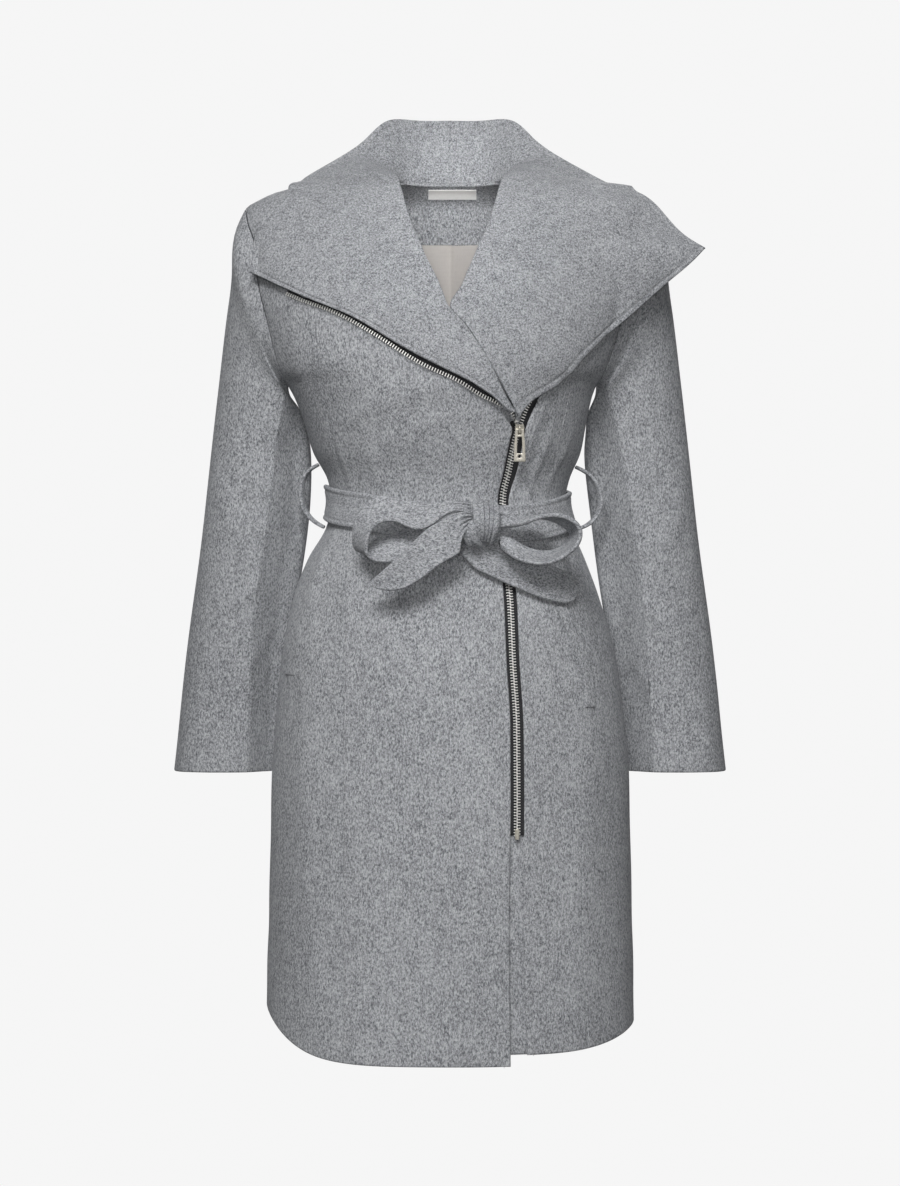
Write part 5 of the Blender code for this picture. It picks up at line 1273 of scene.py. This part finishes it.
def rounded(outline, radius, steps=4):
    """An outline with each corner rounded off."""
    made = []
    for i, (x, z) in enumerate(outline):
        before, after = np.array(outline[i - 1]), np.array(outline[(i + 1) % len(outline)])
        corner = np.array([x, z])
        one, other = before - corner, after - corner
        reach = min(radius, np.linalg.norm(one) * 0.45, np.linalg.norm(other) * 0.45)
        one, other = one / np.linalg.norm(one) * reach, other / np.linalg.norm(other) * reach
        for t in np.linspace(0, 1, steps + 1):
            made.append(tuple(corner + one * (1 - t) ** 2 + other * t ** 2))
    return made


def mirrored(right_side):
    """A closed outline of x and z from its right side, listed upwards."""
    left_side = [(-x, z) for x, z in reversed(right_side)]
    return left_side[-1:] + right_side + left_side[:-1]


def metal_piece(name, shapes, tilt, seat, body="coat"):
    """One metal piece from several closed shapes, tilted about x and set in place."""
    cosine, sine = math.cos(tilt), math.sin(tilt)
    placed = []
    for points, faces in shapes:
        x, y, z = points.T
        placed.append((np.stack([x, y * cosine - z * sine, y * sine + z * cosine], axis=1) + seat, faces))
    mesh = joined(name, placed, merge=1e-6)
    mesh.shade_smooth()
    mesh.set_sharp_from_angle(angle=math.radians(METAL_SHARP_DEG))
    new_piece(name, mesh, "nickel", body)


def along_zip(z, raised):
    """Points over the middle of the closed zip, and the turn about x that lays a piece along them."""
    points = front_point(zip_x(z), z, np.full(len(z), raised))
    rise = points[-1] - points[0]
    return points, math.atan2(-rise[1], rise[2])


def slider_seat():
    """The middle of the slider's back, and its turn about x."""
    points, tilt = along_zip(SLIDER_Z + np.array([-1.0, 0.0, 1.0]) * SLIDER_HEIGHT / 2, SLIDER_RAISED)
    return points[1], tilt


def make_slider():
    """The slider's body, the two rails that hold it to the teeth, and the bail that holds the pull."""
    half, top, low = SLIDER_HEIGHT / 2, SLIDER_TOP_WIDTH / 2, SLIDER_LOW_WIDTH / 2
    shoulder = 0.25 * half
    outline = mirrored([(low, -half), (top, shoulder), (top * 0.74, half * 0.94), (0.0009, half * 0.72)])
    front = plate([rounded(outline, SLIDER_ROUNDED)], SLIDER_THICK * 0.62, METAL_BEVEL, -SLIDER_THICK * 0.69)
    rails = []
    for sign in (1, -1):
        outline = [(sign * low * 0.80, -half * 0.95), (sign * low, -half * 0.95), (sign * top, shoulder),
                   (sign * top * 0.84, shoulder)]
        rails.append(plate([rounded(outline, RAIL_ROUNDED)], RAIL_THICK, METAL_BEVEL, -0.0001))
    reach, rise = BAIL_HEIGHT / 2 - BAIL_WIRE / 2, -SLIDER_THICK - BAIL_RISE + BAIL_WIRE / 2
    arch = [(-SLIDER_THICK + 0.0004, reach), (-SLIDER_THICK - 0.0014, reach * 0.99),
            (rise * 0.86, reach * 0.90), (rise * 0.97, reach * 0.66), (rise, reach * 0.3)]
    arch += [(y, -z) for y, z in reversed(arch)]
    place = lengths(np.array(arch))
    arch = flowing_curve(place, arch)(np.linspace(0, place[-1], BAIL_STEPS))
    seat, tilt = slider_seat()
    metal_piece("zip_slider", [front, *rails, tube(arch, (BAIL_WIDTH / 2, BAIL_WIRE / 2))], tilt, seat)


def make_pull():
    """A flat pull with an eye for the bail, a long slot and a small hole below it."""
    top, low, bar, slot = PULL_TOP_WIDTH / 2, PULL_LOW_WIDTH / 2, PULL_BAR / 2, PULL_SLOT_WIDTH / 2
    outline = mirrored([(low, -PULL_LENGTH + bar), (low * 0.90, -PULL_LENGTH * 0.45),
                        (low * 0.80, -PULL_LENGTH * 0.22), (top, -bar), (top, bar)])
    eye = mirrored([(PULL_EYE_WIDTH / 2, -bar - PULL_EYE_HEIGHT), (PULL_EYE_WIDTH / 2, -bar)])
    slot = mirrored([(slot * 1.24, PULL_SLOT_Z - PULL_SLOT_HEIGHT / 2),
                     (slot, PULL_SLOT_Z + PULL_SLOT_HEIGHT / 2)])
    hole = [(PULL_HOLE_RADIUS * math.cos(a), PULL_HOLE_Z + PULL_HOLE_RADIUS * math.sin(a))
            for a in np.linspace(0, 2 * math.pi, 24, endpoint=False)]
    outlines = [rounded(outline, PULL_ROUNDED), rounded(eye, EYE_ROUNDED), rounded(slot, SLOT_ROUNDED), hole]
    seat, tilt = slider_seat()
    forward = SLIDER_THICK + BAIL_RISE - BAIL_WIRE - PULL_PLAY - PULL_BAR / 2
    hinge = seat + forward * np.array([0.0, -math.cos(tilt), -math.sin(tilt)])
    metal_piece("zip_pull", [plate(outlines, PULL_THICK, METAL_BEVEL)], 0.0, hinge, body="pull")


def make_end_stop():
    """The clamp over the closed zip's lower end."""
    ends, lean = along_zip(ZIP_END_Z + np.array([-STOP_BELOW, STOP_ABOVE]), TEETH_TOP - 0.0008)
    outline = mirrored([(STOP_WIDTH / 2, -STOP_HALF_HEIGHT), (STOP_WIDTH / 2, STOP_HALF_HEIGHT)])
    clamp = plate([rounded(outline, 0.0014)], STOP_THICK, 0.0005)
    metal_piece("zip_end_stop", [clamp], lean, ends.mean(axis=0))


def give(tree, socket, value):
    """Links an output to a socket, or sets a plain value on it."""
    if hasattr(value, "is_linked"):
        tree.links.new(value, socket)
    else:
        socket.default_value = value


def add_node(tree, kind, **inputs):
    node = tree.nodes.new(kind)
    for name, value in inputs.items():
        give(tree, node.inputs[name.replace("_", " ")], value)
    return node


def new_finish(name, **settings):
    """A material with a Principled shader whose plain settings are set on its own sockets."""
    material = bpy.data.materials.new(name)
    material.use_nodes = True
    shader = material.node_tree.nodes["Principled BSDF"]
    for socket, value in settings.items():
        shader.inputs[socket.replace("_", " ")].default_value = value
    return material, material.node_tree


def finished(material, colour, roughness, height=None, strength=0.0, distance=0.0):
    """Gives a material its colour and roughness, each as a texture and its stops, and its relief."""
    tree = material.node_tree
    sockets = tree.nodes["Principled BSDF"].inputs
    tree.links.new(ramp(tree, *colour), sockets["Base Color"])
    tree.links.new(ramp(tree, *roughness), sockets["Roughness"])
    if height is not None:
        relief = add_node(tree, "ShaderNodeBump", Height=height, Strength=strength, Distance=distance)
        tree.links.new(relief.outputs["Normal"], sockets["Normal"])
    return material


def object_place(tree):
    return tree.nodes.new("ShaderNodeTexCoord").outputs["Object"]


def cloth_place(tree, stretched=(1, 1, 1), turn=0.0):
    """The cloth map, stretched and turned."""
    place = tree.nodes.new("ShaderNodeUVMap")
    place.uv_map = "cloth"
    return add_node(tree, "ShaderNodeMapping", Vector=place.outputs["UV"], Scale=stretched,
                    Rotation=(0, 0, turn)).outputs["Vector"]


def noise(tree, place, scale, detail=2.0, roughness=0.5):
    node = add_node(tree, "ShaderNodeTexNoise", Vector=place, Scale=scale, Detail=detail, Roughness=roughness)
    return node.outputs["Fac"]


def ribs(tree, place, scale, distortion):
    return add_node(tree, "ShaderNodeTexWave", Vector=place, Scale=scale, Distortion=distortion,
                    Detail=1.0).outputs["Fac"]


def ramp(tree, fac, stops):
    """A colour ramp from (place, colour) stops. A single number is a grey."""
    node = add_node(tree, "ShaderNodeValToRGB", Fac=fac)
    elements = node.color_ramp.elements
    while len(elements) < len(stops):
        elements.new(0.5)
    for element, (place, colour) in zip(elements, stops):
        element.position = place
        element.color = (*colour, 1) if hasattr(colour, "__len__") else (colour, colour, colour, 1)
    return node.outputs["Color"]


def total(tree, weighted):
    """The weighted sum of several textures."""
    last = 0.0
    for value, weight in weighted:
        node = tree.nodes.new("ShaderNodeMath")
        node.operation = "MULTIPLY_ADD"
        for socket, given in zip(node.inputs, (value, weight, last)):
            give(tree, socket, given)
        last = node.outputs["Value"]
    return last


def wool(name, stretched, dark, light):
    """Grey melange wool: dark and pale fibres in soft specks, faint yarns, a short nap and cloudy patches."""
    material, tree = new_finish(name, Sheen_Weight=0.10, Sheen_Roughness=0.55, Specular_IOR_Level=0.25,
                                Sheen_Tint=(0.93, 0.95, 1.0, 1.0))
    place = object_place(tree)
    cloth_way = add_node(tree, "ShaderNodeMapping", Vector=place, Scale=stretched).outputs["Vector"]
    yarn_way = add_node(tree, "ShaderNodeMapping", Vector=cloth_way, Scale=stretched).outputs["Vector"]
    specks = noise(tree, cloth_way, 560.0, 3.0, 0.80)
    fibres = noise(tree, yarn_way, 1050.0, 2.0, 0.70)
    clouds = noise(tree, cloth_way, 95.0, 3.0, 0.60)
    wide = noise(tree, place, 9.0, 1.0)
    height = total(tree, ((specks, 0.62), (fibres, 0.38)))
    tone = total(tree, ((specks, 0.56), (fibres, 0.30), (clouds, 0.09), (wide, 0.05)))
    middle = [(a + b) / 2 for a, b in zip(dark, light)]
    return finished(material, (tone, ((0.405, dark), (0.50, middle), (0.595, light))),
                    (height, ((0.3, 0.98), (0.6, 0.86))), height, 0.55, 0.0011)


def satin_lining(name):
    """Taupe satin with a fine twill and a soft shine."""
    material, tree = new_finish(name, Sheen_Weight=0.12, Specular_IOR_Level=0.5, Anisotropic=0.5)
    twill = math.radians(38)
    fine = noise(tree, cloth_place(tree, (1.0, 0.12, 1.0), twill), 1500.0, 1.0)
    slubs = noise(tree, cloth_place(tree, (0.1, 1.0, 1.0)), 420.0, 1.0)
    clouds = noise(tree, cloth_place(tree, turn=twill), 30.0)
    tone = total(tree, ((fine, 0.45), (slubs, 0.25), (clouds, 0.30)))
    height = total(tree, ((fine, 0.6), (slubs, 0.4)))
    return finished(material, (tone, ((0.30, (0.385, 0.362, 0.342)), (0.70, (0.435, 0.413, 0.392)))),
                    (tone, ((0.3, 0.52), (0.7, 0.38))), height, 0.25, 0.0004)


def label_tape(name):
    """A bare woven label: fine ribs across, with slightly darker yarns between."""
    material, tree = new_finish(name, Sheen_Weight=0.2, Specular_IOR_Level=0.3)
    yarns = noise(tree, cloth_place(tree, (1.0, 0.2, 1.0)), 1400.0, 1.0)
    tone = total(tree, ((ribs(tree, cloth_place(tree), 520.0, 0.6), 0.35), (yarns, 0.65)))
    return finished(material, (tone, ((0.2, (0.86, 0.845, 0.82)), (0.8, (0.97, 0.96, 0.94)))),
                    (yarns, ((0.3, 0.75), (0.7, 0.6))), tone, 0.3, 0.0003)


def black_tape(name):
    """Black woven zip tape: a herringbone of fine ribs, with a painted highlight that makes the high yarns
    paler.
    """
    material, tree = new_finish(name, Sheen_Weight=0.08, Specular_IOR_Level=0.35)
    upright = ribs(tree, cloth_place(tree, turn=math.radians(90)), 330.0, 0.4)
    slanted = ribs(tree, cloth_place(tree, turn=math.radians(62)), 210.0, 0.4)
    yarns = noise(tree, cloth_place(tree), 900.0)
    height = total(tree, ((upright, 0.55), (slanted, 0.20), (yarns, 0.25)))
    # painted highlight: the higher a rib stands, the paler its black is coloured
    black, painted_highlight_grey, pale = (0.010, 0.010, 0.011), (0.022, 0.022, 0.024), (0.060, 0.060, 0.064)
    return finished(material, (height, ((0.2, black), (0.62, painted_highlight_grey), (0.9, pale))),
                    (yarns, ((0.3, 0.90), (0.7, 0.70))), height, 0.6, 0.0005)


def metal(name, dark, light, rough, smooth):
    """Plated metal with fine brushing, small stains and a softer gloss where it is handled."""
    material, tree = new_finish(name, Metallic=1.0)
    place = object_place(tree)
    stains = noise(tree, place, 900.0, 3.0, 0.6)
    brushed = add_node(tree, "ShaderNodeMapping", Vector=place, Scale=(1.0, 1.0, 0.12)).outputs["Vector"]
    lines = noise(tree, brushed, 5200.0)
    return finished(material, (stains, ((0.3, dark), (0.62, light))),
                    (total(tree, ((stains, 0.5), (lines, 0.5))), ((0.3, rough), (0.7, smooth))), lines, 0.12,
                    0.00005)


def sewing_thread(name):
    """Sewing thread in the wool's grey, with a tight twist."""
    material, tree = new_finish(name, Sheen_Weight=0.25, Specular_IOR_Level=0.3)
    twist = noise(tree, object_place(tree), 1800.0, 1.0)
    return finished(material, (twist, ((0.3, (0.17, 0.173, 0.18)), (0.7, (0.34, 0.345, 0.355)))),
                    (twist, ((0.3, 0.85), (0.7, 0.65))))


BODY_TONES = (0.098, 0.102, 0.112), (0.470, 0.480, 0.497)  # the wool's darkest and palest fibres
OTHER_TONES = (0.096, 0.100, 0.110), (0.460, 0.470, 0.488)  # and those of the collar and the belt
FINISHES = {
    "wool": lambda: wool("grey_melange_wool", (1.0, 1.0, 0.60), *BODY_TONES),
    "wool_bias": lambda: wool("grey_melange_wool_bias", (1.0, 1.0, 0.90), *OTHER_TONES),
    "wool_belt": lambda: wool("grey_melange_wool_belt", (0.70, 1.0, 1.0), *OTHER_TONES),
    "thread": lambda: sewing_thread("grey_thread"),
    "lining": lambda: satin_lining("taupe_satin_lining"),
    "label": lambda: label_tape("bare_woven_label"),
    "zip_tape": lambda: black_tape("black_zip_tape"),
    "teeth": lambda: metal("silver_teeth", (0.60, 0.59, 0.57), (0.92, 0.91, 0.88), 0.55, 0.38),
    "nickel": lambda: metal("pale_nickel", (0.30, 0.283, 0.24), (0.55, 0.523, 0.46), 0.46, 0.30),
}
MADE_FINISHES = {}


def finish_of(name):
    if name not in MADE_FINISHES:
        MADE_FINISHES[name] = FINISHES[name]()
    return MADE_FINISHES[name]


# The plain stage
FLOOR_Z, FLOOR_RADIUS = -1.42, 1.8
CAMERA_AT, CAMERA_LENS, CAMERA_FILM, CAMERA_REACH = (0.0, -3.4, -0.415), 100.2, 36.0, 50.0
LIGHTS = (  # name, place, the point it faces, width, height, spread in degrees, power
    ("top_light", (-0.5, -3.4, 2.2), (0.0, 0.0, -0.55), 1.8, 1.2, 180, 160.0),
    ("front_light", (0.0, -4.6, -0.45), (0.0, 0.0, -0.45), 0.7, 1.8, 10, 1.35),
    ("right_light", (3.1, -2.5, 0.8), (0.0, 0.0, -0.42), 1.2, 2.4, 180, 12.0),
    ("back_light", (0.6, 4.2, 1.6), (0.0, 0.0, -0.42), 2.0, 2.0, 180, 150.0),
)
NECK_LIGHT_AT, NECK_LIGHT_AIM = (0.0, -3.3, -0.36), (0.0, 0.06, -0.012)  # into the open neck
NECK_LIGHT_POWER, NECK_LIGHT_DEG, NECK_LIGHT_RADIUS = 230.0, 2.5, 0.06
AMBIENT = 0.03  # how much of the pale surround lights the coat from all sides
MIRRORED = 0.55  # how bright the surround looks in the metal
BACKGROUND = 0.920


def make_floor():
    shape = bmesh.new()
    bmesh.ops.create_circle(shape, cap_ends=True, segments=128, radius=FLOOR_RADIUS)
    bmesh.ops.translate(shape, vec=(0, 0, FLOOR_Z), verts=shape.verts)
    mesh = bpy.data.meshes.new("floor")
    shape.to_mesh(mesh)
    shape.free()
    material, tree = new_finish("pale_floor", Specular_IOR_Level=0.2)
    tone = noise(tree, object_place(tree), 2.0)
    finished(material, (tone, ((0.3, 0.90), (0.7, 0.93))), (tone, ((0.3, 0.80), (0.7, 0.70))))
    mesh.materials.append(material)
    floor = put("floor", mesh)
    floor.visible_diffuse = False


def make_surround():
    """A pale surround that is shown to the camera, dimmer in the metal and almost dark as a light."""
    world = bpy.data.worlds.new("pale_surround")
    bpy.context.scene.world = world
    world.use_nodes = True
    tree = world.node_tree
    shown = tree.nodes["Background"]
    shown.inputs["Color"].default_value = (BACKGROUND, BACKGROUND, BACKGROUND, 1)
    lit, mirrored_light = (add_node(tree, "ShaderNodeBackground", Color=(1, 1, 1, 1), Strength=strength)
                           for strength in (AMBIENT, MIRRORED))
    path, last = tree.nodes.new("ShaderNodeLightPath"), lit
    for ray, light in (("Is Glossy Ray", mirrored_light), ("Is Camera Ray", shown)):
        mixed = tree.nodes.new("ShaderNodeMixShader")
        for socket, given in zip(mixed.inputs, (path.outputs[ray], last.outputs[0], light.outputs[0])):
            tree.links.new(given, socket)
        last = mixed
    tree.links.new(last.outputs[0], tree.nodes["World Output"].inputs["Surface"])


def add_light(name, kind, place, aim, glossy, **settings):
    """A light that faces a point, and that may be left out of the metal's gloss."""
    light = bpy.data.lights.new(name, kind)
    for setting, value in settings.items():
        setattr(light, setting, value)
    obj = put(name, light)
    obj.location = place
    obj.rotation_euler = (mathutils.Vector(aim) - mathutils.Vector(place)).to_track_quat("-Z", "Y").to_euler()
    obj.visible_glossy = glossy


def make_stage():
    make_floor()
    make_surround()
    for name, place, aim, width, height, spread, power in LIGHTS:
        add_light(name, "AREA", place, aim, name != "front_light", shape="RECTANGLE", size=width,
                  size_y=height, spread=math.radians(spread), energy=power)
    add_light("neck_light", "SPOT", NECK_LIGHT_AT, NECK_LIGHT_AIM, False, energy=NECK_LIGHT_POWER,
              shadow_soft_size=NECK_LIGHT_RADIUS, spot_size=math.radians(NECK_LIGHT_DEG), spot_blend=1.0)
    camera = bpy.data.cameras.new("camera")
    camera.lens, camera.sensor_fit, camera.sensor_height = CAMERA_LENS, "VERTICAL", CAMERA_FILM
    camera.clip_end = CAMERA_REACH
    obj = put("camera", camera)
    obj.location = CAMERA_AT
    obj.rotation_euler = (math.pi / 2, 0, 0)
    scene = bpy.context.scene
    scene.camera = obj
    scene.view_settings.view_transform = "Standard"
    scene.view_settings.look = "None"


def main():
    make_fronts()
    make_backs()
    make_back_neck()
    for side in SIGNS:
        make_sleeve(side, "upper")
        make_sleeve(side, "under")
    make_collar("right", RIGHT_LAPEL, RIGHT_TIP_ROW)
    make_collar("left", LEFT_LAPEL, LEFT_TIP_ROW)
    make_belt_band()
    make_straps()
    make_knot()
    make_carriers()
    make_pockets()
    tree = repeat_tree()
    make_zip(tree)
    repeated("stitches", list(stitch_rows()), stitch(), STITCH_PITCH, STITCH_UNEVEN, STITCH_SEED, "thread",
             tree)
    make_slider()
    make_pull()
    make_end_stop()
    make_stage()


main()
